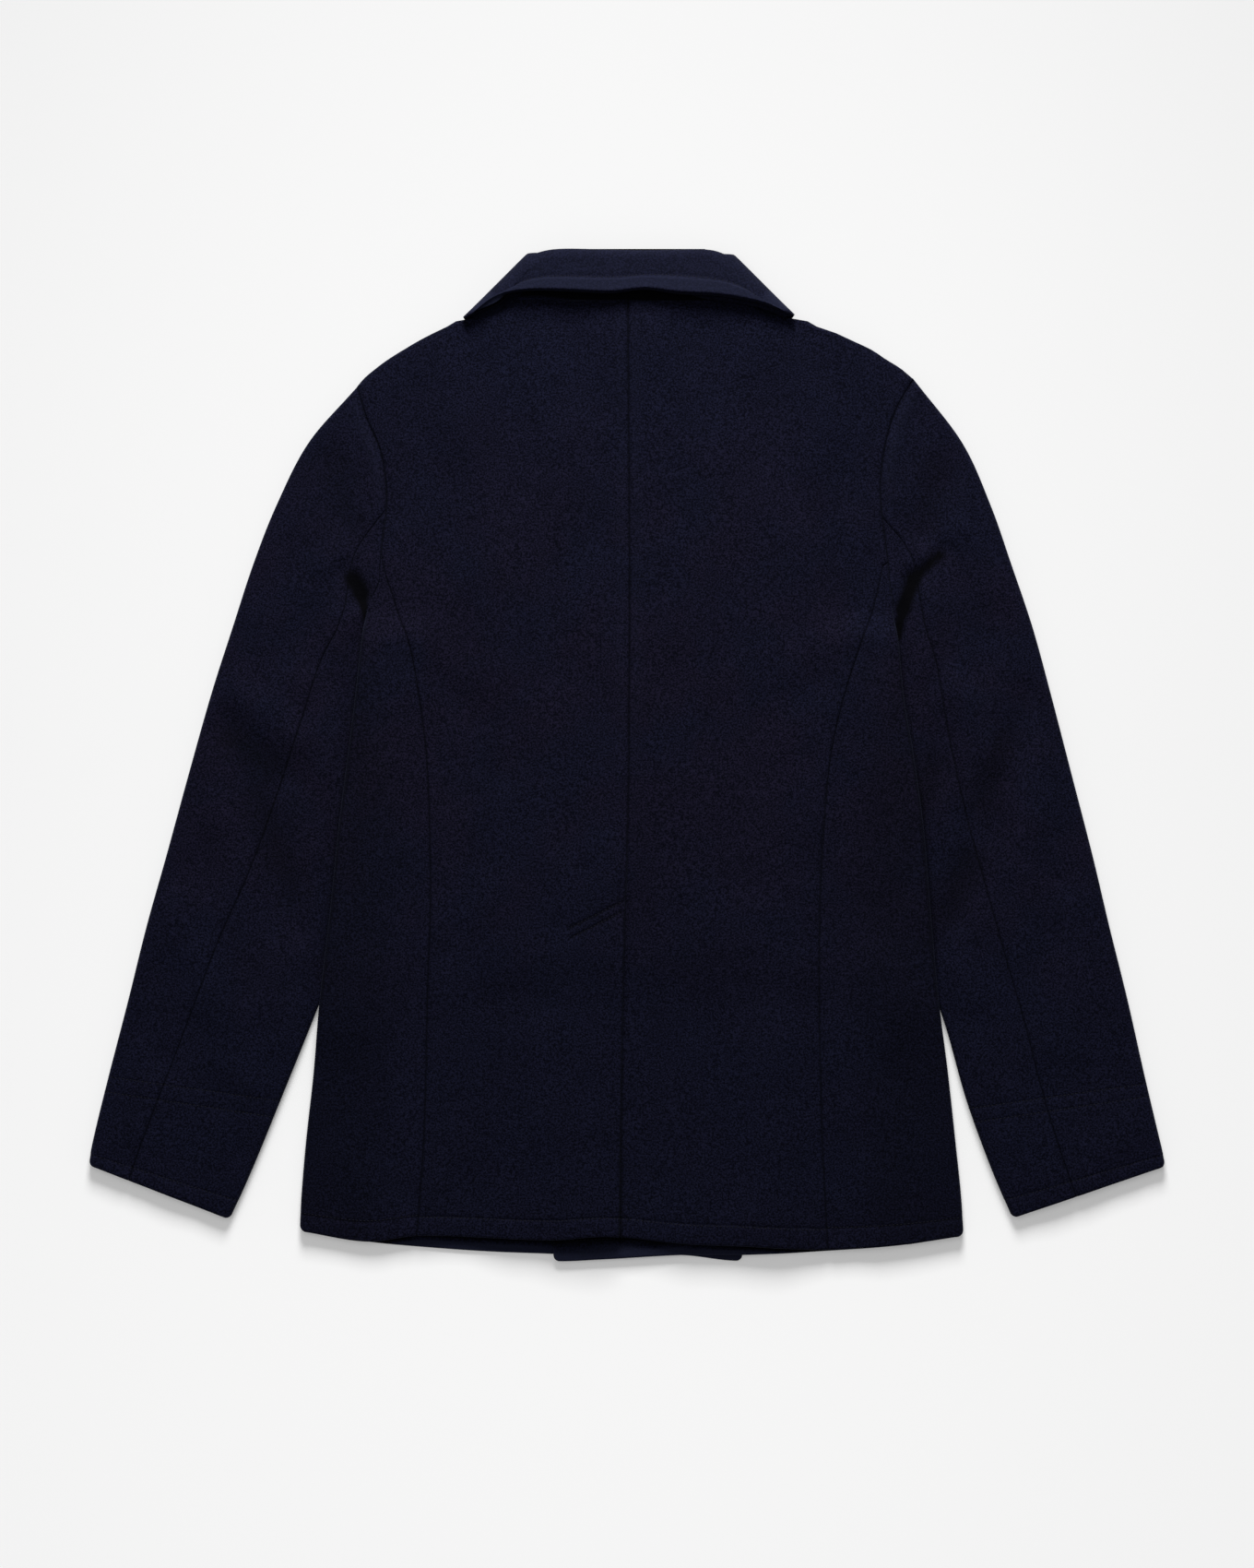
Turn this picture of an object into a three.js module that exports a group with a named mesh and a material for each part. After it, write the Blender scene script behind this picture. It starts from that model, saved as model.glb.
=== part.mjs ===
// A double-breasted reefer jacket in heavy navy melton, laid flat on its face with its back up.
// Millimetres: +X across the back to the wearer's right, +Y towards the collar, +Z up off the table.
// Every piece of cloth is a wall CLOTH thick. Layers lie on each other, SEAM apart where they are sewn.
import * as THREE from 'three';

// Driving dimensions.
const CLOTH = 3; // melton with its canvas
const SEAM = 0.3; // space between two pieces that are sewn together
const AIR = 3.5; // slack between the foreparts and the back
const HEM_Y = -384; // level of the back's hem before its own waves
const NECK_Y = 364; // neck seam of the back
const LIE = 3.95; // how far buttons, lapels and collar points hold the foreparts up
const MIDDLE_X = 16.75; // middle of the double-breasted closing
const FRONT_EDGE = { left: 92.5, right: -59 }; // free edges of the two foreparts
const BREAK_Y = 165; // where the lapels start to turn back
const SIDE_WRAP = 45; // how far a side body goes round under the coat
const SLEEVE_H = 9.5; // a sleeve lying flat
const TUCKED_H = 6.8; // the strip of a sleeve that is under the body's side
const SIDE_LIFT = 7.5; // height of the body's side edge where it lies on that strip
const VENT_TOP = -104; // top of the vent
const VENT_LAP = 40; // width of the vent's underlap
const VENT_INSET = 4; // last column of points before the centre line
const VENT_RAISE = 1.2; // how far the outer vent edge stands proud
const VENT_SINK = 2.1; // how far the inner vent half lies lower
const HEM_FADE = 60; // height over which the hem's waves die out
const BUTTON = {
  radius: 14, height: 3.4, hole: 1.1, pitch: 2.2, sides: 24, holeSides: 6,
  rows: [135, 15, -105], columns: [-34, 67.5],
};

// Where the layers' heights step up or down: the place of each step and the width that it takes.
const HELD = { half: 115, chest: 40, chestY: 200, chestOver: 90, fade: 45, footY: -205, footOver: 50 };
const SIDE_STEP = { topY: 118, topOver: 28, footY: -270, footOver: 80, full: 27, fade: 50 };
const LAYER_STEP = { outer: 28, inner: 70, over: 42 };
const TUCK_STEP = { reach: 16, over: 13 };
const VENT_STEP = { topY: -50, topOver: 48, margin: 28, over: 20, fade: 60, lapOver: 18 };

// The body from the hem up: fold lines at the sides, side-back seams and the centre back.
const BODY = [
  { y: -384, leftEdge: -262, leftSeam: -168.5, centre: -6, rightSeam: 161, rightEdge: 269.5 },
  { y: -355, leftEdge: -261, leftSeam: -166, centre: -5.5, rightSeam: 159, rightEdge: 268 },
  { y: -311, leftEdge: -257.5, leftSeam: -163, centre: -5, rightSeam: 156.5, rightEdge: 263.5 },
  { y: -252, leftEdge: -251, leftSeam: -161, centre: -4, rightSeam: 155, rightEdge: 257 },
  { y: -196, leftEdge: -246, leftSeam: -160, centre: -3, rightSeam: 154, rightEdge: 249.5 },
  { y: -118, leftEdge: -237, leftSeam: -157.5, centre: -1, rightSeam: 154.5, rightEdge: 242.5 },
  { y: -59, leftEdge: -231, leftSeam: -158, centre: 0.5, rightSeam: 157.5, rightEdge: 237.5 },
  { y: 0, leftEdge: -223.5, leftSeam: -160.5, centre: 1.5, rightSeam: 163, rightEdge: 229.5 },
  { y: 44, leftEdge: -218, leftSeam: -166, centre: 1.5, rightSeam: 172.5, rightEdge: 222 },
  { y: 89, leftEdge: -213, leftSeam: -174, centre: 2, rightSeam: 186.5, rightEdge: 217.5 },
  { y: 121, leftEdge: -209, leftSeam: -185.4, centre: 2, rightSeam: 198, rightEdge: 213 },
  { y: 165, leftEdge: -206, leftSeam: -197.5, centre: 2, rightSeam: 206.5, rightEdge: 210 },
  { y: 364, leftEdge: -200, leftSeam: -198, centre: 0.7, rightSeam: 207, rightEdge: 206 },
];

// Hem lines, across the coat.
const HEM = [
  { x: -262, back: -380, leftFront: -380, rightFront: -380 },
  { x: -209, back: -388.5, leftFront: -389, rightFront: -389 },
  { x: -168, back: -384, leftFront: -393, rightFront: -393 },
  { x: -111, back: -385.5, leftFront: -397, rightFront: -400 },
  { x: -60, back: -387, leftFront: -399, rightFront: -404.5 },
  { x: -17, back: -384, leftFront: -401, rightFront: -403 },
  { x: 44, back: -390, leftFront: -400, rightFront: -399.6 },
  { x: 92, back: -392, leftFront: -404.5, rightFront: -399.6 },
  { x: 161, back: -395, leftFront: -396, rightFront: -396.5 },
  { x: 220, back: -391, leftFront: -391, rightFront: -392 },
  { x: 269, back: -384, leftFront: -384, rightFront: -384 },
];

// Armhole seams from the shoulder down to the underarm.
const ARMHOLE = {
  left: [
    { x: -216, y: 296 }, { x: -208, y: 270 }, { x: -197.5, y: 245 }, { x: -193, y: 218 }, { x: -193, y: 195 },
    { x: -196, y: 173 }, { x: -197.5, y: 153 }, { x: -198.5, y: 139 }, { x: -208.7, y: 121 },
  ],
  right: [
    { x: 229.5, y: 302 }, { x: 217.6, y: 282.7 }, { x: 211, y: 266.4 }, { x: 205, y: 240 },
    { x: 202.8, y: 212.4 }, { x: 205, y: 185.7 },
    { x: 208.7, y: 159 }, { x: 210.2, y: 140 }, { x: 213.5, y: 121 },
  ],
};
const ARM_STEPS = 16;
const FRONT_NODE = 14; // step of the armhole where the sleeve's front seam starts
const ARM_BLEND = 3; // sections of the sleeve over which its rows straighten from the armhole's curve
const ARM_CLEARANCE = 0.7; // share of SEAM that a piece keeps off the armhole's own line
const NODES = {
  left: { elbow: 9, side: 12, under: [3, 6, 9, 12, FRONT_NODE] },
  right: { elbow: 10, side: 13, under: [3, 6, 10, 13, FRONT_NODE] },
};

// Shoulder line from the armhole to the neck.
const SHOULDER = [
  { y: 303, left: -210, right: 228 },
  { y: 311, left: -200.5, right: 218.5 },
  { y: 318, left: -191, right: 207 },
  { y: 325.5, left: -179, right: 195.5 },
  { y: 333, left: -166, right: 179 },
  { y: 340, left: -152, right: 163.5 },
  { y: 344, left: -143, right: 150 },
  { y: 348, left: -117, right: 125 },
  { y: 353, left: -107, right: 114 },
  { y: 358, left: -98, right: 105 },
  { y: 364, left: -92, right: 99 },
];
const FRONT_SHOULDER_TOP = 353; // the foreparts' shoulder ends here, lower than the back's

// Inner line of each forepart above the break: roll line, then neckline.
const FRONT_NECK = [
  { y: 165, left: 92.5, right: -59 },
  { y: 303, left: -8, right: 23.7 },
  { y: 345, left: -62, right: 72 },
  { y: 353, left: -77, right: 86 },
];
const ROLL = { x: 0.589, y: 0.809 }; // direction of the left roll line, across and up
const ROLL_RIGHT = { x: 0.514, y: 0.858 };

// Sleeves, a row for each section: its outer and inner folds, and how far across the elbow seam lies.
const SLEEVE = {
  left: [
    { outerX: -216, outerY: 296, innerX: -208.7, innerY: 121, elbow: 0.5625 },
    { outerX: -255, outerY: 251.5, innerX: -211.2, innerY: 112.5, elbow: 0.64 },
    { outerX: -281, outerY: 201, innerX: -210.2, innerY: 102, elbow: 0.75 },
    { outerX: -299.5, outerY: 154, innerX: -208.5, innerY: 88, elbow: 0.745 },
    { outerX: -316, outerY: 103.5, innerX: -207, innerY: 57.5, elbow: 0.64 },
    { outerX: -333, outerY: 50.5, innerX: -202, innerY: 13.5, elbow: 0.555 },
    { outerX: -351.5, outerY: -15, innerX: -207, innerY: -48, elbow: 0.49 },
    { outerX: -369, outerY: -79, innerX: -217.5, innerY: -107.5, elbow: 0.44 },
    { outerX: -385, outerY: -136, innerX: -234, innerY: -165, elbow: 0.385 },
    { outerX: -399.5, outerY: -194.5, innerX: -254, innerY: -217, elbow: 0.355 },
    { outerX: -415, outerY: -254.5, innerX: -277, innerY: -274, elbow: 0.325 },
    { outerX: -426, outerY: -299, innerX: -298, innerY: -325.5, elbow: 0.3 },
    { outerX: -432, outerY: -327, innerX: -318, innerY: -371, elbow: 0.288 },
  ],
  right: [
    { outerX: 229.5, outerY: 302, innerX: 213.5, innerY: 121, elbow: 0.625 },
    { outerX: 268.5, outerY: 251.5, innerX: 214.8, innerY: 112.5, elbow: 0.64 },
    { outerX: 291.5, outerY: 201, innerX: 215.4, innerY: 102, elbow: 0.71 },
    { outerX: 308, outerY: 154, innerX: 214.6, innerY: 88, elbow: 0.73 },
    { outerX: 325, outerY: 103.5, innerX: 213, innerY: 57.5, elbow: 0.685 },
    { outerX: 339.5, outerY: 50.5, innerX: 208.5, innerY: 13.5, elbow: 0.638 },
    { outerX: 356.5, outerY: -15, innerX: 213, innerY: -48, elbow: 0.61 },
    { outerX: 373, outerY: -79, innerX: 222.5, innerY: -107.5, elbow: 0.585 },
    { outerX: 386.5, outerY: -136, innerX: 237.5, innerY: -165, elbow: 0.575 },
    { outerX: 401, outerY: -194.5, innerX: 255.5, innerY: -217, elbow: 0.578 },
    { outerX: 414.5, outerY: -254.5, innerX: 271.5, innerY: -274, elbow: 0.578 },
    { outerX: 425, outerY: -299, innerX: 290, innerY: -325.5, elbow: 0.582 },
    { outerX: 432, outerY: -328, innerX: 308.5, innerY: -370, elbow: 0.587 },
  ],
};
const SLEEVE_STEPS = 16;
const FRONT_SEAM = 0.875; // where the sleeve's front seam lies across its underside

// The largest folds: soft troughs in the upper cloth, each from one end to the other.
const FOLDS = [
  { x0: -318, y0: 22, x1: -266, y1: -126, half: 22, deep: 2.2 },
  { x0: 318, y0: 44, x1: 262, y1: -118, half: 24, deep: 2.2 },
  { x0: -226, y0: 148, x1: -214, y1: 124, half: 11, deep: 2.6 },
  { x0: 246, y0: 158, x1: 226, y1: 134, half: 11, deep: 2.6 },
];

// The collar: where its fall turns round at the shoulders, and where it ends at the gorge.
const COLLAR = {
  top: 405, edge: 373.5, height: 23.5, crease: 17.05, underTop: 20.2, standLow: 10.3, roll: 0.2, corner: 0.3,
  innerTurn: 0.095, ends: 16, square: 8, spread: 3, underInset: 2,
  turnTop: { left: { x: -80, y: 402 }, right: { x: 86, y: 401 } },
  turnLow: { left: { x: -131, y: 351 }, right: { x: 134, y: 353 } },
  gorgeTop: { left: { x: -7, y: 303 }, right: { x: 24, y: 303 } },
  gorgeLow: { left: { x: -118, y: 290 }, right: { x: 122, y: 290 } },
};
const STAND = {
  rows: [0, 0.3, 0.6, 0.82, 0.94, 1], steps: 12, curlFrom: 0.82, settled: 0.5,
  foot: { left: -88, right: 94 }, head: { left: -56, right: 62 },
};
const LAPEL = {
  left: [[89, 168], [-8, 299], [-80, 286], [-112, 262], [-75, 214], [0, 180]],
  right: [[21, 300], [90, 287], [120, 262], [110, 215], [98, 168], [17, 281]],
};

const lerp = THREE.MathUtils.lerp;
const smooth = (t) => { const c = Math.min(1, Math.max(0, t)); return c * c * (3 - 2 * c); };
const sign = (side) => (side === 'left' ? -1 : 1);

/** A smooth line through one column of a table, read against another column. */
function track(table, at, key) {
  const rows = [...table].sort((a, b) => a[at] - b[at]);
  const slope = (i) => {
    const a = rows[Math.max(0, i - 1)];
    const b = rows[Math.min(rows.length - 1, i + 1)];
    return (b[key] - a[key]) / (b[at] - a[at]);
  };
  return (value) => {
    const clamped = Math.min(rows[rows.length - 1][at], Math.max(rows[0][at], value));
    let i = 0;
    while (i < rows.length - 2 && clamped > rows[i + 1][at]) i += 1;
    const span = rows[i + 1][at] - rows[i][at];
    const t = (clamped - rows[i][at]) / span;
    const rise = rows[i + 1][key] - rows[i][key];
    const bendIn = slope(i) * span - rise;
    const bendOut = rise - slope(i + 1) * span;
    return lerp(rows[i][key], rows[i + 1][key], t) + t * (1 - t) * (bendIn * (1 - t) + bendOut * t);
  };
}

const edgeX = { left: track(BODY, 'y', 'leftEdge'), right: track(BODY, 'y', 'rightEdge') };
const seamX = { left: track(BODY, 'y', 'leftSeam'), right: track(BODY, 'y', 'rightSeam') };
const centreX = track(BODY, 'y', 'centre');
const hemY = {
  back: track(HEM, 'x', 'back'),
  left: track(HEM, 'x', 'leftFront'),
  right: track(HEM, 'x', 'rightFront'),
};
const neckX = { left: track(FRONT_NECK, 'y', 'left'), right: track(FRONT_NECK, 'y', 'right') };

/** Armhole seam as a curve, read from 0 at the shoulder to 1 at the underarm. */
const armCurve = Object.fromEntries(['left', 'right'].map((side) => {
  const places = ARMHOLE[side].map((p) => new THREE.Vector3(p.x, p.y, 0));
  const curve = new THREE.CatmullRomCurve3(places, false, 'centripetal');
  return [side, curve.getSpacedPoints(ARM_STEPS)];
}));
function armhole(side, fraction) {
  const place = Math.min(ARM_STEPS, Math.max(0, fraction * ARM_STEPS));
  const i = Math.min(ARM_STEPS - 1, Math.floor(place));
  return armCurve[side][i].clone().lerp(armCurve[side][i + 1], place - i);
}
const ARM_LENGTH = Object.fromEntries(['left', 'right'].map((side) => [side,
  armCurve[side].slice(1).reduce((sum, p, i) => sum + p.distanceTo(armCurve[side][i]), 0)]));

/** How far the foreparts are held up by buttons, lapels and collar points, which lie under them. */
function lie(x, y) {
  const half = HELD.half + HELD.chest * smooth((y - HELD.chestY) / HELD.chestOver);
  const across = 1 - smooth((Math.abs(x - MIDDLE_X) - half) / HELD.fade);
  return LIE * across * smooth((y - HELD.footY) / HELD.footOver);
}

/** Rise of the body's side where it lies over the sleeve: full at the side edge, nothing further in. */
function sideRise(x, y) {
  const side = x < 0 ? 'left' : 'right';
  const { topY, topOver, footY, footOver, full, fade } = SIDE_STEP;
  const along = smooth((topY - y) / topOver) * smooth((y - footY) / footOver);
  const inward = sign(side) * (edgeX[side](y) - x);
  return SIDE_LIFT * along * (1 - smooth((inward - full) / fade));
}

/** Share of the outer forepart's thickness that the inner forepart is lifted by. */
function overOuter(x, y) {
  const fromEdge = x - FRONT_EDGE.left;
  const outside = Math.max(fromEdge, fromEdge * ROLL.y + (y - BREAK_Y) * ROLL.x);
  return 1 - smooth((outside - LAYER_STEP.outer) / LAYER_STEP.over);
}

/** Share of the inner forepart's thickness that the back is lifted by. */
function overInner(x, y) {
  const fromEdge = x - FRONT_EDGE.right;
  const inside = Math.min(fromEdge, fromEdge * ROLL_RIGHT.y - (y - BREAK_Y) * ROLL_RIGHT.x);
  return overOuter(x, y) * smooth((inside + LAYER_STEP.inner) / LAYER_STEP.over);
}

const bottomZ = (x, y) => lie(x, y) + sideRise(x, y);
const topZ = (x, y) => bottomZ(x, y) + CLOTH + (CLOTH + SEAM) * overInner(x, y) + AIR + CLOTH;

/** Depth of the large folds at a point. */
function foldDepth(x, y) {
  return FOLDS.reduce((sum, f) => {
    const dx = f.x1 - f.x0;
    const dy = f.y1 - f.y0;
    const t = Math.min(1, Math.max(0, ((x - f.x0) * dx + (y - f.y0) * dy) / (dx * dx + dy * dy)));
    const away = Math.hypot(x - f.x0 - t * dx, y - f.y0 - t * dy) / f.half;
    return sum + f.deep * Math.exp(-away * away);
  }, 0);
}

/** One closed wall between an outer and an inner grid of points, with its four rims. */
function wall(outer, inner) {
  const rows = outer.length;
  const cols = outer[0].length;
  const points = [...outer.flat(), ...inner.flat()];
  const at = (layer, r, c) => layer * rows * cols + r * cols + c;
  const faces = [];
  const quad = (a, b, c, d) => faces.push(a, b, c, a, c, d);
  for (let r = 0; r < rows - 1; r += 1) {
    for (let c = 0; c < cols - 1; c += 1) {
      quad(at(0, r, c), at(0, r, c + 1), at(0, r + 1, c + 1), at(0, r + 1, c));
      quad(at(1, r, c), at(1, r + 1, c), at(1, r + 1, c + 1), at(1, r, c + 1));
    }
    quad(at(0, r, 0), at(0, r + 1, 0), at(1, r + 1, 0), at(1, r, 0));
    quad(at(0, r, cols - 1), at(1, r, cols - 1), at(1, r + 1, cols - 1), at(0, r + 1, cols - 1));
  }
  for (let c = 0; c < cols - 1; c += 1) {
    quad(at(0, 0, c), at(1, 0, c), at(1, 0, c + 1), at(0, 0, c + 1));
    quad(at(0, rows - 1, c), at(0, rows - 1, c + 1), at(1, rows - 1, c + 1), at(1, rows - 1, c));
  }
  const volume = faces.reduce((sum, v, i) => {
    if (i % 3) return sum;
    return sum + points[v].dot(new THREE.Vector3().crossVectors(points[faces[i + 1]], points[faces[i + 2]]));
  }, 0);
  if (volume < 0) faces.reverse();
  const geometry = new THREE.BufferGeometry();
  const numbers = points.flatMap((p) => [p.x, p.y, p.z]);
  geometry.setAttribute('position', new THREE.Float32BufferAttribute(numbers, 3));
  geometry.setIndex(faces);
  geometry.computeVertexNormals();
  return geometry;
}

const coat = new THREE.Group();
const MELTON = { color: 0x16161f, roughness: 0.95, metalness: 0 };
const HORN = { color: 0x0b0b0d, roughness: 0.35, metalness: 0 };

function add(name, geometry, look = MELTON) {
  const mesh = new THREE.Mesh(geometry, new THREE.MeshStandardMaterial(look));
  mesh.name = name;
  coat.add(mesh);
}

/** Round of a fold between two angles: how far in and how high its outside and its inside are. */
function foldRound(from, to, steps, height, low = 0) {
  const radius = height / 2;
  return Array.from({ length: steps + 1 }, (_, i) => {
    const angle = THREE.MathUtils.degToRad(lerp(from, to, i / steps));
    const inside = radius - CLOTH;
    return {
      d: radius * (1 - Math.cos(angle)), z: low + radius * (1 + Math.sin(angle)),
      dIn: radius - inside * Math.cos(angle), zIn: low + radius + inside * Math.sin(angle),
    };
  });
}

/** Levels of the rows of the body, from the hem to the point where the side-back seam meets the armhole. */
const ROWS = [-384, -352, -322, -270, -215, -165, -125, VENT_TOP, -75, -45, 5, 50, 85, 108, 135];
const BACK_COLUMNS = [0.2, 0.42, 0.62, 0.82, 1];
const FRONT_COLUMNS = [0.14, 0.3, 0.45, 0.6, 0.75, 0.88, 1];
const SHOULDER_STRETCH = 2; // a shoulder's fold is this much wider than the half round of its height
const atHem = (x, y, line) => y + (hemY[line](x) - HEM_Y) * (1 - smooth((y - HEM_Y) / HEM_FADE));

/** Outer boundary of a back or forepart, row by row from the hem to the neck. */
function boundary(side, seam, nodes, shoulderRows) {
  const gap = -sign(side) * SEAM / 2;
  const rows = ROWS.map((y) => ({ x: seam(y) + gap, y, round: false }));
  nodes.forEach((n) => {
    const p = armCurve[side][n];
    rows.push({ x: p.x + 2 * ARM_CLEARANCE * gap, y: p.y, round: n === 0 });
  });
  shoulderRows.forEach((row) => rows.push({ x: row[side], y: row.y, round: true }));
  return rows;
}

/** Height that the vent adds to the half that laps on top, or takes from the half beneath. */
function ventStep(side, x, y) {
  const { topY, topOver, margin, over, fade } = VENT_STEP;
  const along = smooth((topY - y) / topOver);
  const away = x - centreX(y);
  if (side === 'left') return VENT_RAISE * along * smooth((away + VENT_LAP + margin) / over);
  return -VENT_SINK * along * smooth(1 - Math.max(0, away) / fade);
}

/** Half of the back, from its outer seam and shoulder in to the centre seam and the vent. */
function backPanel(side) {
  const s = sign(side);
  const nodes = Array.from({ length: NODES[side].side + 1 }, (_, i) => NODES[side].side - i);
  const rows = boundary(side, seamX[side], nodes, SHOULDER);
  const cloth = (x, y) => topZ(x, y) + ventStep(side, x, y);
  const outer = [];
  const inner = [];
  rows.forEach(({ x: edge, y: level, round }) => {
    const middle = centreX(level) + s * SEAM / 2;
    const stretch = round ? SHOULDER_STRETCH : 1;
    const height = topZ(edge, level) - bottomZ(edge, level);
    const low = bottomZ(edge, level);
    const places = foldRound(3, 90, 2, height, low).map((p) => ({
      x: edge - s * p.d * stretch, xIn: round ? edge - s * p.dIn * stretch : edge - s * p.d * stretch,
      z: round ? p.z : null, zIn: round ? p.zIn : null,
    }));
    const start = places[places.length - 1].x;
    const last = middle + s * VENT_INSET;
    BACK_COLUMNS.forEach((f) => places.push({ x: lerp(start, last, f) }));
    const lap = side === 'right' ? VENT_LAP * smooth((VENT_TOP - level) / VENT_STEP.lapOver) : 0;
    places.push({ x: middle - lap });
    const line = places.map((p) => {
      const y = atHem(p.x, level, 'back');
      const z = p.z ?? cloth(p.x, y);
      return [new THREE.Vector3(p.x, y, z), new THREE.Vector3(p.xIn ?? p.x, y, p.zIn ?? z - CLOTH)];
    });
    outer.push(line.map((l) => l[0]));
    inner.push(line.map((l) => l[1]));
  });
  return wall(outer, inner);
}

/** A forepart, under the back, from its outer seam and shoulder in to its free edge and roll line. */
function forepart(side) {
  const s = sign(side);
  const nodes = [...NODES[side].under.filter((n) => n <= NODES[side].side).reverse(), 0];
  const shoulder = SHOULDER.filter((row) => row.y <= FRONT_SHOULDER_TOP);
  const rows = boundary(side, (y) => underSeam(side, y), nodes, shoulder);
  const lift = (x, y) => (side === 'right' ? (CLOTH + SEAM) * overOuter(x, y) : 0);
  const outer = [];
  const inner = [];
  rows.forEach(({ x: edge, y: level, round }) => {
    const end = level < BREAK_Y ? FRONT_EDGE[side] : neckX[side](level);
    const stretch = round ? SHOULDER_STRETCH : 1;
    const height = topZ(edge, level) - bottomZ(edge, level);
    const low = bottomZ(edge, level);
    const places = foldRound(-3, -90, 2, height, low).map((p) => ({
      x: edge - s * p.d * stretch, xIn: round ? edge - s * p.dIn * stretch : edge - s * p.d * stretch,
      z: round ? p.z : null, zIn: round ? p.zIn : null,
    }));
    const start = places[places.length - 1].x;
    FRONT_COLUMNS.forEach((f) => places.push({ x: lerp(start, end, f) }));
    const line = places.map((p) => {
      const y = atHem(p.x, level, side);
      const z = p.z ?? bottomZ(p.x, y) + lift(p.x, y);
      return [new THREE.Vector3(p.x, y, z), new THREE.Vector3(p.xIn ?? p.x, y, p.zIn ?? z + CLOTH)];
    });
    outer.push(line.map((l) => l[0]));
    inner.push(line.map((l) => l[1]));
  });
  return wall(outer, inner);
}

const JOIN_Y = 60; // above this level the underside's seam runs in to meet the side-back seam
const SIDE_BLEND = 4; // rows over which the side body's top bends to the armhole
const UNDER_COLUMN = 0.45;

/** Seam between a side body and a forepart, on the underside. */
function underSeam(side, y) {
  const wrapped = edgeX[side](y) - sign(side) * SIDE_WRAP;
  const junction = armCurve[side][NODES[side].side];
  return lerp(wrapped, junction.x, smooth((y - JOIN_Y) / (junction.y - JOIN_Y)));
}

/** The side body: from the side-back seam out to the fold, round it, and in to the seam on the underside. */
function sideBody(side) {
  const s = sign(side);
  const meet = NODES[side].side;
  const junction = armCurve[side][meet];
  const underarm = armCurve[side][ARM_STEPS];
  const levels = [...ROWS, junction.y];
  const outer = [];
  const inner = [];
  levels.forEach((level, row) => {
    const rise = (level - HEM_Y) / (junction.y - HEM_Y);
    const foldY = HEM_Y + rise * (underarm.y - HEM_Y);
    const last = row === levels.length - 1;
    const bend = Math.max(0, 1 - (levels.length - 1 - row) / SIDE_BLEND) ** 2;
    const fold = { x: last ? underarm.x : edgeX[side](foldY), y: foldY };
    const path = (c, seamAt) => {
      const arm = armhole(side, lerp(meet, ARM_STEPS, c) / ARM_STEPS);
      const straight = { x: lerp(junction.x, underarm.x, c), y: lerp(junction.y, underarm.y, c) };
      return {
        x: lerp(seamAt, fold.x, c) + bend * (arm.x - straight.x - s * SEAM * ARM_CLEARANCE),
        y: lerp(level, fold.y, c) + bend * (arm.y - straight.y),
      };
    };
    const upper = last ? junction.x : seamX[side](level);
    const lower = last ? junction.x : underSeam(side, level);
    const width = Math.hypot(upper - fold.x, level - fold.y);
    const widthUnder = Math.hypot(lower - fold.x, level - fold.y);
    const low = bottomZ(fold.x, fold.y);
    const height = topZ(fold.x, fold.y) - low;
    const line = [];
    const put = (c, cIn, seamAt, z, zIn) => {
      const p = path(c, seamAt);
      const q = path(cIn, seamAt);
      const lineName = seamAt === upper ? 'back' : side;
      line.push([
        new THREE.Vector3(p.x, atHem(p.x, p.y, lineName), z ?? topZ(p.x, p.y)),
        new THREE.Vector3(q.x, atHem(q.x, q.y, lineName), zIn ?? topZ(q.x, q.y) - CLOTH),
      ]);
    };
    const count = ARM_STEPS - meet;
    for (let i = 0; i < count; i += 1) {
      const c = i === 0 ? SEAM / 2 / width : i / count;
      put(c, c, upper);
    }
    foldRound(90, -90, 4, height, low).forEach((p, i) => {
      const wide = i < 2 ? width : widthUnder;
      put(1 - p.d / wide, 1 - p.dIn / wide, i < 2 ? upper : lower, p.z, p.zIn);
    });
    [Math.max(UNDER_COLUMN, (FRONT_NODE - meet) / count), SEAM / 2 / widthUnder].forEach((c) => {
      const p = path(c, lower);
      put(c, c, lower, bottomZ(p.x, p.y), bottomZ(p.x, p.y) + CLOTH);
    });
    outer.push(line.map((l) => l[0]));
    inner.push(line.map((l) => l[1]));
  });
  return wall(outer, inner);
}

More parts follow.
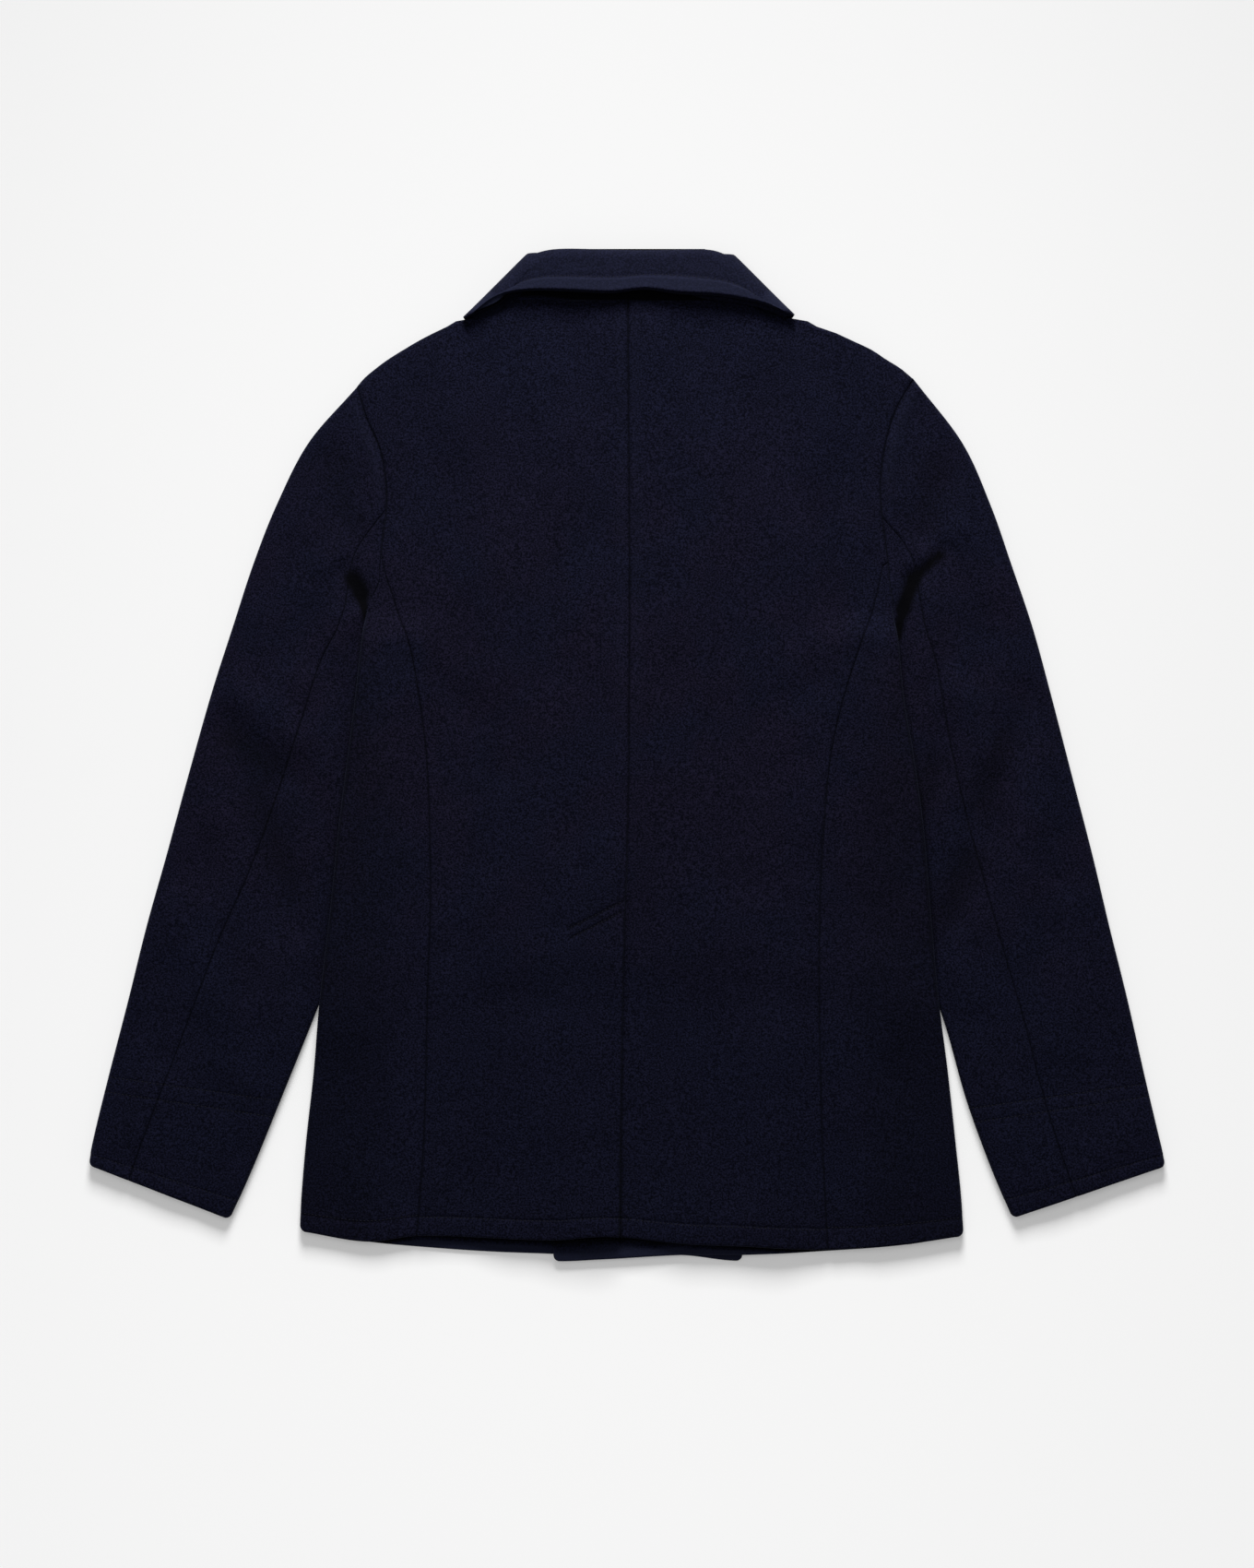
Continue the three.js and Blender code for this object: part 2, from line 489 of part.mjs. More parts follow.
/** Both pieces of one sleeve. */
function sleevePieces(side) {
  const s = sign(side);
  const table = SLEEVE[side].map((row, r) => ({ ...row, r }));
  const column = (key) => track(table, 'r', key);
  const [outerX, outerY, innerX, innerY] = ['outerX', 'outerY', 'innerX', 'innerY'].map(column);
  const elbow = column('elbow');
  const elbowNode = NODES[side].elbow;
  const last = table.length - 1;
  const stations = Array.from({ length: SLEEVE_STEPS + 1 }, (_, i) => (i / SLEEVE_STEPS) * last);
  const plan = (f, r) => {
    const bend = Math.max(0, 1 - r / ARM_BLEND) ** 2;
    const arm = armhole(side, f);
    const x = lerp(outerX(r), innerX(r), f) + bend * (arm.x - lerp(table[0].outerX, table[0].innerX, f));
    const y = lerp(outerY(r), innerY(r), f) + bend * (arm.y - lerp(table[0].outerY, table[0].innerY, f));
    return { x: x + s * SEAM * ARM_CLEARANCE * Math.max(0, 1 - 2 * r), y };
  };
  const width = (r) => {
    const straight = Math.hypot(outerX(r) - innerX(r), outerY(r) - innerY(r));
    return lerp(ARM_LENGTH[side], straight, smooth(r / 2));
  };
  const upperZ = (x, y) => {
    const outside = s * (x - edgeX[side](y));
    const inStrip = smooth((TUCK_STEP.reach - outside) / TUCK_STEP.over);
    const tuck = (sideRise(edgeX[side](y), y) / SIDE_LIFT) * inStrip;
    return SLEEVE_H - (SLEEVE_H - TUCKED_H) * tuck - foldDepth(x, y) * (1 - tuck);
  };
  const build = (columnsOf) => {
    const outer = [];
    const inner = [];
    stations.forEach((r) => {
      const line = columnsOf(r).map((c) => {
        const p = plan(c.f, r);
        const q = plan(c.fIn ?? c.f, r);
        const z = c.z ?? upperZ(p.x, p.y);
        return [new THREE.Vector3(p.x, p.y, z), new THREE.Vector3(q.x, q.y, c.zIn ?? z - CLOTH)];
      });
      outer.push(line.map((l) => l[0]));
      inner.push(line.map((l) => l[1]));
    });
    return wall(outer, inner);
  };
  const topSleeve = (r) => {
    const w = width(r);
    const columns = [];
    for (let n = elbowNode; n > 0; n -= 1) {
      const f = elbow(r) * (n / elbowNode);
      columns.push({ f: f - (n === elbowNode ? SEAM / 2 / w : 0) });
    }
    foldRound(90, -90, 4, SLEEVE_H).forEach((p) => {
      columns.push({ f: p.d / w, fIn: p.dIn / w, z: p.z, zIn: p.zIn });
    });
    NODES[side].under.forEach((n) => {
      columns.push({ f: n === FRONT_NODE ? FRONT_SEAM - SEAM / 2 / w : n / ARM_STEPS, z: 0, zIn: CLOTH });
    });
    return columns;
  };
  const underSleeve = (r) => {
    const w = width(r);
    const columns = [];
    for (let n = elbowNode; n < ARM_STEPS; n += 1) {
      const f = lerp(elbow(r), 1, (n - elbowNode) / (ARM_STEPS - elbowNode));
      columns.push({ f: f + (n === elbowNode ? SEAM / 2 / w : 0) });
    }
    const edge = plan(1, r);
    foldRound(90, -90, 4, upperZ(edge.x, edge.y)).forEach((p) => {
      columns.push({ f: 1 - p.d / w, fIn: 1 - p.dIn / w, z: p.z, zIn: p.zIn });
    });
    columns.push({ f: FRONT_SEAM + SEAM / 2 / w, z: 0, zIn: CLOTH });
    return columns;
  };
  add(`top_sleeve_${side}`, build(topSleeve));
  add(`under_sleeve_${side}`, build(underSleeve));
}

/** Plan of the fall: s runs from the left turn to the right one, v from the crease to the free edge. */
function collarPlan(s, v, inset) {
  const turn = (side) => {
    const a = COLLAR.turnTop[side];
    const b = COLLAR.turnLow[side];
    const slant = (Math.PI / 4) * Math.min(1, v / COLLAR.corner);
    return {
      x: lerp(a.x, b.x, v) - sign(side) * inset * Math.cos(slant),
      y: lerp(a.y, b.y, v) - inset * Math.sin(slant),
    };
  };
  const left = turn('left');
  const right = turn('right');
  const middle = lerp(COLLAR.top, COLLAR.edge, v);
  const drop = Math.abs(2 * s - 1) ** (COLLAR.square + COLLAR.spread * v);
  return { x: lerp(left.x, right.x, s), y: lerp(middle, s < 0.5 ? left.y : right.y, drop) };
}

const COLLAR_V = [0, 0.03, 0.1, 0.2, 0.5, 0.78, 1];
const COLLAR_S = [0, 0.02, 0.05, 0.1, 0.17, 0.27, 0.4, 0.5, 0.6, 0.73, 0.83, 0.9, 0.95, 0.98, 1];

/** The fall, from the left point over the back of the neck to the right point. */
function collarFall() {
  const outer = [];
  const inner = [];
  COLLAR_V.forEach((v) => {
    const cos = Math.max(0, 1 - v / COLLAR.roll);
    const sin = Math.sqrt(1 - cos * cos);
    const z = COLLAR.crease + (COLLAR.height - COLLAR.crease) * sin;
    const radius = z / 2;
    const back = COLLAR_S.map((s) => {
      const p = collarPlan(s, v, radius);
      const rolled = 1 - Math.abs(2 * s - 1) ** COLLAR.ends;
      const q = collarPlan(s, v + COLLAR.innerTurn * cos * rolled, radius);
      return [new THREE.Vector3(p.x, p.y, z), new THREE.Vector3(q.x, q.y, z - CLOTH * lerp(1, sin, rolled))];
    });
    const ends = ['left', 'right'].map((side) => {
      const low = foldRound(90, -90, 7, z).slice(1).map((p) => {
        const a = collarPlan(side === 'left' ? 0 : 1, v, p.d);
        const b = collarPlan(side === 'left' ? 0 : 1, v, p.dIn);
        return [new THREE.Vector3(a.x, a.y, p.z), new THREE.Vector3(b.x, b.y, p.zIn)];
      });
      const start = collarPlan(side === 'left' ? 0 : 1, v, radius);
      const gorge = ['x', 'y'].map((k) => lerp(COLLAR.gorgeTop[side][k], COLLAR.gorgeLow[side][k], v));
      [0.33, 0.66, 1].forEach((t) => {
        const x = lerp(start.x, gorge[0], t);
        const y = lerp(start.y, gorge[1], t);
        low.push([new THREE.Vector3(x, y, 0), new THREE.Vector3(x, y, CLOTH)]);
      });
      return low;
    });
    const line = [...ends[0].reverse(), ...back, ...ends[1]];
    outer.push(line.map((l) => l[0]));
    inner.push(line.map((l) => l[1]));
  });
  return wall(outer, inner);
}

/** The under collar, a flat layer just below the fall. */
function underCollar() {
  const inset = COLLAR.height / 2 + COLLAR.underInset;
  const outer = [];
  const inner = [];
  [0.22, 0.5, 0.78, 1].forEach((v) => {
    const line = COLLAR_S.map((s) => collarPlan(s, v, inset));
    outer.push(line.map((p) => new THREE.Vector3(p.x, p.y, COLLAR.underTop)));
    inner.push(line.map((p) => new THREE.Vector3(p.x, p.y, COLLAR.underTop - CLOTH)));
  });
  return wall(outer, inner);
}

/** The stand: from the neck seam up to the crease, where it curls upwards to meet the fall. */
function collarStand() {
  const rise = COLLAR.crease - SEAM - COLLAR.standLow;
  const outer = [];
  const inner = [];
  STAND.rows.forEach((v) => {
    const curl = (Math.PI / 2) * Math.max(0, (v - STAND.curlFrom) / (1 - STAND.curlFrom));
    const lowPoints = [];
    const highPoints = [];
    for (let i = 0; i <= STAND.steps; i += 1) {
      const left = lerp(STAND.foot.left, STAND.head.left, v);
      const right = lerp(STAND.foot.right, STAND.head.right, v);
      const x = lerp(left, right, i / STAND.steps);
      const flatY = lerp(NECK_Y + SEAM, COLLAR.top - rise, Math.min(1, v / STAND.curlFrom));
      const level = lerp(topZ(x, NECK_Y), COLLAR.standLow + CLOTH, smooth(v / STAND.settled)) - CLOTH;
      const inside = rise - CLOTH;
      const lowZ = level + rise * (1 - Math.cos(curl));
      const highZ = level + CLOTH + inside * (1 - Math.cos(curl));
      lowPoints.push(new THREE.Vector3(x, flatY + rise * Math.sin(curl), lowZ));
      highPoints.push(new THREE.Vector3(x, flatY + inside * Math.sin(curl), highZ));
    }
    outer.push(lowPoints);
    inner.push(highPoints);
  });
  return wall(outer, inner);
}

/** A lapel, turned back flat under its forepart. */
function lapel(side) {
  const outline = new THREE.Shape(LAPEL[side].map(([x, y]) => new THREE.Vector2(x, y)));
  return new THREE.ExtrudeGeometry(outline, { depth: CLOTH, bevelEnabled: false });
}

/** A round button with four sewing holes. */
function button(x, y) {
  const ring = (cx, cy, radius, sides) => Array.from({ length: sides }, (_, i) => {
    const angle = (2 * Math.PI * i) / sides;
    return new THREE.Vector2(cx + radius * Math.cos(angle), cy + radius * Math.sin(angle));
  });
  const outline = new THREE.Shape(ring(0, 0, BUTTON.radius, BUTTON.sides));
  [[1, 1], [-1, 1], [-1, -1], [1, -1]].forEach(([across, up]) => {
    const hole = ring(across * BUTTON.pitch, up * BUTTON.pitch, BUTTON.hole, BUTTON.holeSides);
    outline.holes.push(new THREE.Path(hole));
  });
  const geometry = new THREE.ExtrudeGeometry(outline, { depth: BUTTON.height, bevelEnabled: false });
  return geometry.translate(x, y, 0);
}

['left', 'right'].forEach((side) => {
  add(`back_${side}`, backPanel(side));
  add(`side_body_${side}`, sideBody(side));
  add(`forepart_${side}`, forepart(side));
  add(`lapel_${side}`, lapel(side));
  sleevePieces(side);
});
add('collar_fall', collarFall());
add('under_collar', underCollar());
add('collar_stand', collarStand());
BUTTON.rows.forEach((y, row) => BUTTON.columns.forEach((x, column) => {
  add(`button_${row + 1}${column ? 'b' : 'a'}`, button(x, y), HORN);
}));

export default coat;
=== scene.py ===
"""A double-breasted reefer jacket in heavy navy melton, laid flat on its face with its back up.

Metres: +X across the back to the wearer's right, +Y towards the collar, +Z up off the surface it lies on.
Every piece of cloth is a closed wall of the form of its solid, worked out more finely: its edges sink into
their seams, hems and cuffs are puffed and stitched, and creases are troughs and ridges placed one by one.
"""

import logging
import math
from dataclasses import dataclass, field
from enum import Enum

import bpy
import numpy as np
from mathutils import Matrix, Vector


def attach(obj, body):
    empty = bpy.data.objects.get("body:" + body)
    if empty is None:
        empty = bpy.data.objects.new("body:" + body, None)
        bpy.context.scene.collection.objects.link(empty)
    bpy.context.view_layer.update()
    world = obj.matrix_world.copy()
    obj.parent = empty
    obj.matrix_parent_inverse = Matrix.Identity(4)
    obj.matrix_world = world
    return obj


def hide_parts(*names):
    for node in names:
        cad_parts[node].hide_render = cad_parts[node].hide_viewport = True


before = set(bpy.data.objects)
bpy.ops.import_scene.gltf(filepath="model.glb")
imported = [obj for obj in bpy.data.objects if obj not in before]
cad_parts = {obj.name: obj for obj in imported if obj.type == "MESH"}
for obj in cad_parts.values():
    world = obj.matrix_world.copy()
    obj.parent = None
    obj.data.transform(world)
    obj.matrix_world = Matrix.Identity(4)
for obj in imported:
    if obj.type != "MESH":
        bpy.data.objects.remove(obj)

Array = np.ndarray
log = logging.getLogger("reefer_jacket")
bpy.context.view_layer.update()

# Driving dimensions.
CLOTH = 0.003  # melton with its canvas
SEAM = 0.0003  # space between two pieces that are sewn together
AIR = 0.0035  # slack between the foreparts and the back
HEM_Y = -0.384  # level of the back's hem before its own waves
HEM_FADE = 0.060  # height over which the hem's waves die out
HEM_STITCH = 0.0155  # height of the hem's row of stitches
NECK_Y = 0.364  # neck seam of the back
LIE = 0.00395  # how far buttons, lapels and collar points hold the foreparts up
MIDDLE_X = 0.01675  # middle of the double-breasted closing
BREAK_Y = 0.165  # where the lapels start to turn back
SIDE_WRAP = 0.045  # how far a side body goes round under the coat
JOIN_Y = 0.060  # above this the seam under a side body runs in to the armhole
SLEEVE_H = 0.0095  # a sleeve lying flat
TUCKED_H = 0.0068  # the strip of a sleeve that is under the body's side
SIDE_LIFT = 0.0075  # height of the body's side edge where it lies on that strip
VENT_TOP = -0.104  # top of the vent
VENT_LAP = 0.040  # width of the vent's underlap
VENT_RAISE = 0.0012  # how far the outer vent edge stands proud
VENT_SINK = 0.0021  # how far the inner vent half lies lower
FRONT_SEAM = 0.875  # how far across a sleeve's underside its front seam lies
CUFF_HEM = 0.0125  # height of the row of stitches at a cuff's edge
CORNER = 0.005  # radius of the corners of hems and cuffs
LEAST_AIR = 0.0004  # least space inside a sleeve
ARM_INSET = 0.7 * SEAM  # how far the pieces at an armhole stand back from its line

# How cloth behaves at its edges and rows of stitches.
SEAM_SINK = 0.0009  # depth of a seam
SEAM_REACH = 0.0010  # half width of a seam
ALLOWANCE = 0.00030  # height of the allowance pressed open beside a seam
ALLOWANCE_AT = 0.0065  # how far from the seam it is highest
ALLOWANCE_REACH = 0.0038  # its half width
SCARF = 0.0008  # how far the inner edge of a seam is shifted
SCARF_REACH = 0.002  # how far in from the edge that shift dies out
STITCH_DEEP = 0.0005  # depth of a stitched row
STITCH_REACH = 0.0009  # half width of a stitched row
STITCH_DARK = 0.0008  # half width of the shade along a seam or a stitched row
HEM_PUFF = 0.0004  # height of a hem's arch

# Places of the closer columns of points: in from a seam, at an inner end, and beside a side or sleeve seam.
SEAM_COLUMNS = (0.0, 0.0004, 0.0009, 0.0015, 0.0022, 0.0032, 0.0045, 0.006, 0.0078, 0.0098)
END_COLUMNS = (0.0098, 0.0074, 0.0054, 0.0038, 0.0026, 0.0017, 0.0010, 0.0005, 0.0)
NEAR_COLUMNS = (0.00015, 0.0005, 0.001, 0.0017, 0.0026, 0.004, 0.006, 0.0085)
FOLD_STEPS = 18  # faces round a fold

# The body from the hem up: level, fold and side-back seam on the left, centre back, right seam and fold.
BODY = (
    (-0.384, -0.262, -0.1685, -0.006, 0.161, 0.2695),
    (-0.355, -0.261, -0.166, -0.0055, 0.159, 0.268),
    (-0.311, -0.2575, -0.163, -0.005, 0.1565, 0.2635),
    (-0.252, -0.251, -0.161, -0.004, 0.155, 0.257),
    (-0.196, -0.246, -0.160, -0.003, 0.154, 0.2495),
    (-0.118, -0.237, -0.1575, -0.001, 0.1545, 0.2425),
    (-0.059, -0.231, -0.158, 0.0005, 0.1575, 0.2375),
    (0.0, -0.2235, -0.1605, 0.0015, 0.163, 0.2295),
    (0.044, -0.218, -0.166, 0.0015, 0.1725, 0.222),
    (0.089, -0.213, -0.174, 0.002, 0.1865, 0.2175),
    (0.121, -0.209, -0.1854, 0.002, 0.198, 0.213),
    (0.165, -0.206, -0.1975, 0.002, 0.2065, 0.210),
    (0.364, -0.200, -0.198, 0.0007, 0.207, 0.206),
)

# Hem lines across the coat: place, then the level of the back, the left forepart and the right one.
HEM = (
    (-0.262, -0.380, -0.380, -0.380),
    (-0.209, -0.3885, -0.389, -0.389),
    (-0.168, -0.384, -0.393, -0.393),
    (-0.111, -0.3855, -0.397, -0.400),
    (-0.060, -0.387, -0.399, -0.4045),
    (-0.017, -0.384, -0.401, -0.403),
    (0.044, -0.390, -0.400, -0.3996),
    (0.092, -0.392, -0.4045, -0.3996),
    (0.161, -0.395, -0.396, -0.3965),
    (0.220, -0.391, -0.391, -0.392),
    (0.269, -0.384, -0.384, -0.384),
)


class Side(Enum):
    """The two sides of the coat as they lie: the sign of X on each."""

    LEFT = -1
    RIGHT = 1

    @property
    def label(self) -> str:
        """The side's name in the names of pieces."""
        return self.name.lower()


# Armhole seams from the shoulder down to the underarm, across and up.
ARMHOLE = {
    Side.LEFT: (
        (-0.216, 0.296), (-0.208, 0.270), (-0.1975, 0.245), (-0.193, 0.218), (-0.193, 0.195),
        (-0.196, 0.173), (-0.1975, 0.153), (-0.1985, 0.139), (-0.2087, 0.121),
    ),
    Side.RIGHT: (
        (0.2295, 0.302), (0.2176, 0.2827), (0.211, 0.2664), (0.205, 0.240), (0.2028, 0.2124),
        (0.205, 0.1857), (0.2087, 0.159), (0.2102, 0.140), (0.2135, 0.121),
    ),
}
MEET = {Side.LEFT: 0.75, Side.RIGHT: 0.8125}  # how far down the armhole the side-back seam runs into it

# Shoulder line from the armhole to the neck: level, left, right.
SHOULDER = (
    (0.303, -0.210, 0.228),
    (0.311, -0.2005, 0.2185),
    (0.318, -0.191, 0.207),
    (0.3255, -0.179, 0.1955),
    (0.333, -0.166, 0.179),
    (0.340, -0.152, 0.1635),
    (0.344, -0.143, 0.150),
    (0.349, -0.1335, 0.1415),
    (0.353, -0.107, 0.114),
    (0.358, -0.098, 0.105),
    (0.364, -0.092, 0.099),
)
FRONT_TOP = 0.353

# Inner line of each forepart above the break: roll line, then neckline. Level, left, right.
FRONT_NECK = (
    (0.165, 0.0925, -0.059),
    (0.303, -0.008, 0.0237),
    (0.345, -0.062, 0.072),
    (0.353, -0.077, 0.086),
)
FRONT_EDGE = {Side.LEFT: 0.0925, Side.RIGHT: -0.059}
ROLL = {Side.LEFT: (0.589, 0.809), Side.RIGHT: (0.514, 0.858)}

# Sleeves, a row for each section: outer fold, inner fold, and how far across the elbow seam lies.
SLEEVE = {
    Side.LEFT: (
        (-0.216, 0.296, -0.2087, 0.121, 0.5625),
        (-0.255, 0.2515, -0.2085, 0.1125, 0.64),
        (-0.281, 0.201, -0.2080, 0.102, 0.75),
        (-0.2995, 0.154, -0.2075, 0.088, 0.745),
        (-0.316, 0.1035, -0.207, 0.0575, 0.64),
        (-0.333, 0.0505, -0.202, 0.0135, 0.555),
        (-0.3515, -0.015, -0.207, -0.048, 0.49),
        (-0.369, -0.079, -0.2175, -0.1075, 0.44),
        (-0.385, -0.136, -0.234, -0.165, 0.385),
        (-0.3995, -0.1945, -0.254, -0.217, 0.355),
        (-0.415, -0.2545, -0.277, -0.274, 0.325),
        (-0.426, -0.299, -0.298, -0.3255, 0.3),
        (-0.432, -0.327, -0.318, -0.371, 0.288),
    ),
    Side.RIGHT: (
        (0.2295, 0.302, 0.2135, 0.121, 0.625),
        (0.2685, 0.2515, 0.2127, 0.1125, 0.64),
        (0.2915, 0.201, 0.2122, 0.102, 0.71),
        (0.308, 0.154, 0.2127, 0.088, 0.73),
        (0.325, 0.1035, 0.213, 0.0575, 0.685),
        (0.3395, 0.0505, 0.2085, 0.0135, 0.638),
        (0.3565, -0.015, 0.213, -0.048, 0.61),
        (0.373, -0.079, 0.2225, -0.1075, 0.585),
        (0.3865, -0.136, 0.2375, -0.165, 0.575),
        (0.401, -0.1945, 0.2555, -0.217, 0.578),
        (0.4145, -0.2545, 0.2715, -0.274, 0.578),
        (0.425, -0.299, 0.290, -0.3255, 0.582),
        (0.432, -0.328, 0.3085, -0.370, 0.587),
    ),
}
CUFF_ROWS = {Side.LEFT: (0.0745, 0.0875), Side.RIGHT: (0.070, 0.081)}  # above the cuff's edge

# Creases: from one end to the other, half width, height (a trough is below nought).
BODY_CREASES = (
    (0.004, 0.175, 0.003, 0.040, 0.010, 0.0007),
    (-0.010, -0.095, -0.052, -0.118, 0.012, 0.0009),
    (-0.100, 0.345, -0.062, 0.262, 0.020, 0.0014),
    (-0.045, 0.352, -0.028, 0.285, 0.016, -0.0015),
    (0.052, 0.350, 0.030, 0.300, 0.014, -0.0010),
    (0.110, 0.335, 0.080, 0.250, 0.022, 0.0012),
    (-0.165, 0.290, -0.172, 0.200, 0.016, -0.0012),
    (0.175, 0.300, 0.178, 0.205, 0.016, -0.0012),
    (-0.186, 0.255, -0.180, 0.165, 0.007, 0.0008),
    (0.193, 0.262, 0.194, 0.170, 0.007, 0.0008),
    (-0.190, 0.110, -0.120, 0.060, 0.014, 0.0010),
    (-0.185, 0.085, -0.110, 0.025, 0.013, -0.0010),
    (0.195, 0.110, 0.130, 0.070, 0.014, 0.0010),
    (0.190, 0.080, 0.110, 0.030, 0.013, -0.0010),
    (-0.080, -0.030, -0.140, -0.060, 0.020, 0.0010),
    (0.060, -0.020, 0.135, -0.055, 0.022, 0.0009),
    (-0.110, -0.200, -0.120, -0.345, 0.018, -0.0012),
    (-0.070, -0.220, -0.062, -0.360, 0.016, 0.0012),
    (0.060, -0.220, 0.070, -0.360, 0.020, -0.0012),
    (0.115, -0.210, 0.122, -0.360, 0.016, 0.0011),
    (-0.205, -0.180, -0.215, -0.340, 0.018, 0.0012),
    (0.205, -0.180, 0.215, -0.340, 0.018, 0.0012),
    (-0.190, -0.020, -0.198, -0.140, 0.014, -0.0011),
    (0.195, -0.020, 0.200, -0.140, 0.014, -0.0011),
    (-0.030, -0.300, -0.026, -0.384, 0.018, 0.0024),
    (0.190, -0.330, 0.205, -0.390, 0.016, 0.0012),
    (-0.130, -0.335, -0.140, -0.384, 0.018, -0.0010),
)
SLEEVE_CREASES = {
    Side.LEFT: (
        (-0.330, 0.030, -0.278, -0.016, 0.015, -0.0036),
        (-0.300, -0.016, -0.262, -0.130, 0.017, -0.0032),
        (-0.318, 0.058, -0.262, 0.012, 0.014, 0.0026),
        (-0.352, 0.004, -0.326, -0.050, 0.015, 0.0022),
        (-0.256, 0.058, -0.236, -0.010, 0.014, 0.0018),
        (-0.226, 0.148, -0.214, 0.126, 0.008, -0.0036),
        (-0.241, 0.152, -0.229, 0.170, 0.009, 0.0022),
        (-0.236, 0.236, -0.222, 0.178, 0.015, -0.0024),
        (-0.262, 0.190, -0.246, 0.128, 0.016, 0.0012),
        (-0.232, 0.112, -0.226, 0.070, 0.009, 0.0016),
        (-0.258, 0.110, -0.296, 0.060, 0.014, -0.0014),
        (-0.360, -0.120, -0.330, -0.200, 0.020, 0.0019),
        (-0.290, -0.170, -0.300, -0.260, 0.018, 0.0018),
        (-0.385, -0.170, -0.372, -0.240, 0.015, -0.0018),
        (-0.330, -0.270, -0.350, -0.330, 0.016, -0.0014),
    ),
    Side.RIGHT: (
        (0.322, 0.046, 0.286, -0.046, 0.016, -0.0034),
        (0.252, 0.012, 0.240, -0.040, 0.014, -0.0022),
        (0.268, 0.052, 0.300, -0.006, 0.014, 0.0020),
        (0.286, -0.056, 0.252, -0.150, 0.016, -0.0034),
        (0.342, -0.006, 0.314, -0.090, 0.017, 0.0024),
        (0.262, -0.150, 0.276, -0.192, 0.015, 0.0028),
        (0.254, 0.166, 0.228, 0.140, 0.007, -0.0036),
        (0.228, 0.140, 0.219, 0.100, 0.006, -0.0034),
        (0.268, 0.182, 0.242, 0.158, 0.009, 0.0024),
        (0.250, 0.232, 0.236, 0.180, 0.014, -0.0022),
        (0.272, 0.196, 0.290, 0.140, 0.017, 0.0014),
        (0.246, 0.120, 0.236, 0.070, 0.010, 0.0018),
        (0.300, 0.110, 0.280, 0.060, 0.014, -0.0013),
        (0.330, -0.150, 0.300, -0.220, 0.020, -0.0018),
        (0.368, -0.160, 0.352, -0.230, 0.018, 0.0018),
        (0.310, -0.280, 0.330, -0.340, 0.016, 0.0014),
    ),
}
# Hollows whose shade is painted on, in the same form; here the height is the share of painted shade.
HOLLOWS = {
    Side.LEFT: (
        (-0.2195, 0.1425, -0.2130, 0.1320, 0.0066, 1.1),
        (-0.213, 0.129, -0.2085, 0.112, 0.0034, 1.0),
        (-0.318, 0.014, -0.286, -0.006, 0.012, 0.34),
        (-0.236, 0.236, -0.224, 0.190, 0.014, 0.20),
        (-0.296, -0.030, -0.268, -0.110, 0.014, 0.22),
    ),
    Side.RIGHT: (
        (0.250, 0.161, 0.230, 0.143, 0.0036, 1.0),
        (0.230, 0.143, 0.221, 0.118, 0.0052, 1.15),
        (0.221, 0.118, 0.2165, 0.096, 0.0036, 0.9),
        (0.300, 0.010, 0.284, -0.036, 0.013, 0.28),
        (0.244, -0.006, 0.236, -0.040, 0.011, 0.24),
        (0.272, -0.084, 0.258, -0.126, 0.013, 0.28),
        (0.250, 0.232, 0.238, 0.190, 0.013, 0.20),
    ),
}

# The collar: where its fall turns round at the shoulders, where it ends, and the lines across the back of it.
TURN_TOP = {Side.LEFT: (-0.080, 0.402), Side.RIGHT: (0.086, 0.401)}
TURN_LOW = {Side.LEFT: (-0.131, 0.351), Side.RIGHT: (0.134, 0.353)}
GORGE_TOP = {Side.LEFT: (-0.007, 0.303), Side.RIGHT: (0.024, 0.303)}
GORGE_LOW = {Side.LEFT: (-0.118, 0.290), Side.RIGHT: (0.122, 0.290)}
# Across the collar: place, then the level of its crease, its stitched ridge and its free edge.
COLLAR_LINES = (
    (-0.125, 0.404, 0.3730, 0.3560),
    (-0.112, 0.404, 0.3745, 0.3648),
    (-0.100, 0.404, 0.3780, 0.3686),
    (-0.082, 0.4045, 0.3812, 0.3708),
    (-0.058, 0.4055, 0.3828, 0.3708),
    (-0.012, 0.4045, 0.3820, 0.3690),
    (0.014, 0.4040, 0.3838, 0.3718),
    (0.041, 0.4045, 0.3832, 0.3684),
    (0.072, 0.4055, 0.3804, 0.3668),
    (0.097, 0.404, 0.3758, 0.3634),
    (0.113, 0.404, 0.3710, 0.3606),
    (0.128, 0.404, 0.3670, 0.3560),
)

# The lapels' outlines, across and up.
LAPEL = {
    Side.LEFT: (
        (0.089, 0.168), (-0.008, 0.299), (-0.080, 0.286), (-0.112, 0.262), (-0.075, 0.214), (0.0, 0.180),
    ),
    Side.RIGHT: (
        (0.021, 0.300), (0.090, 0.287), (0.120, 0.262), (0.110, 0.215), (0.098, 0.168), (0.017, 0.281),
    ),
}


def smooth(t: Array | float) -> Array:
    """Nought below 0, one above 1 and a smooth step between them."""
    c = np.clip(t, 0.0, 1.0)
    return c * c * (3 - 2 * c)


def mix(a: Array | float, b: Array | float, t: Array | float) -> Array:
    """The value t of the way from a to b."""
    return a + (b - a) * t


def bell(away: Array | float, width: float) -> Array:
    """One at nought, and fading on both sides."""
    return np.exp(-((away / width) ** 2))


@dataclass(frozen=True)
class Ramp:
    """A smooth step from nought to one: where it starts, and its run, which is below 0 if it falls."""

    start: float
    run: float

    def __call__(self, place: Array | float) -> Array:
        """The step's value at a place."""
        return smooth((place - self.start) / self.run)


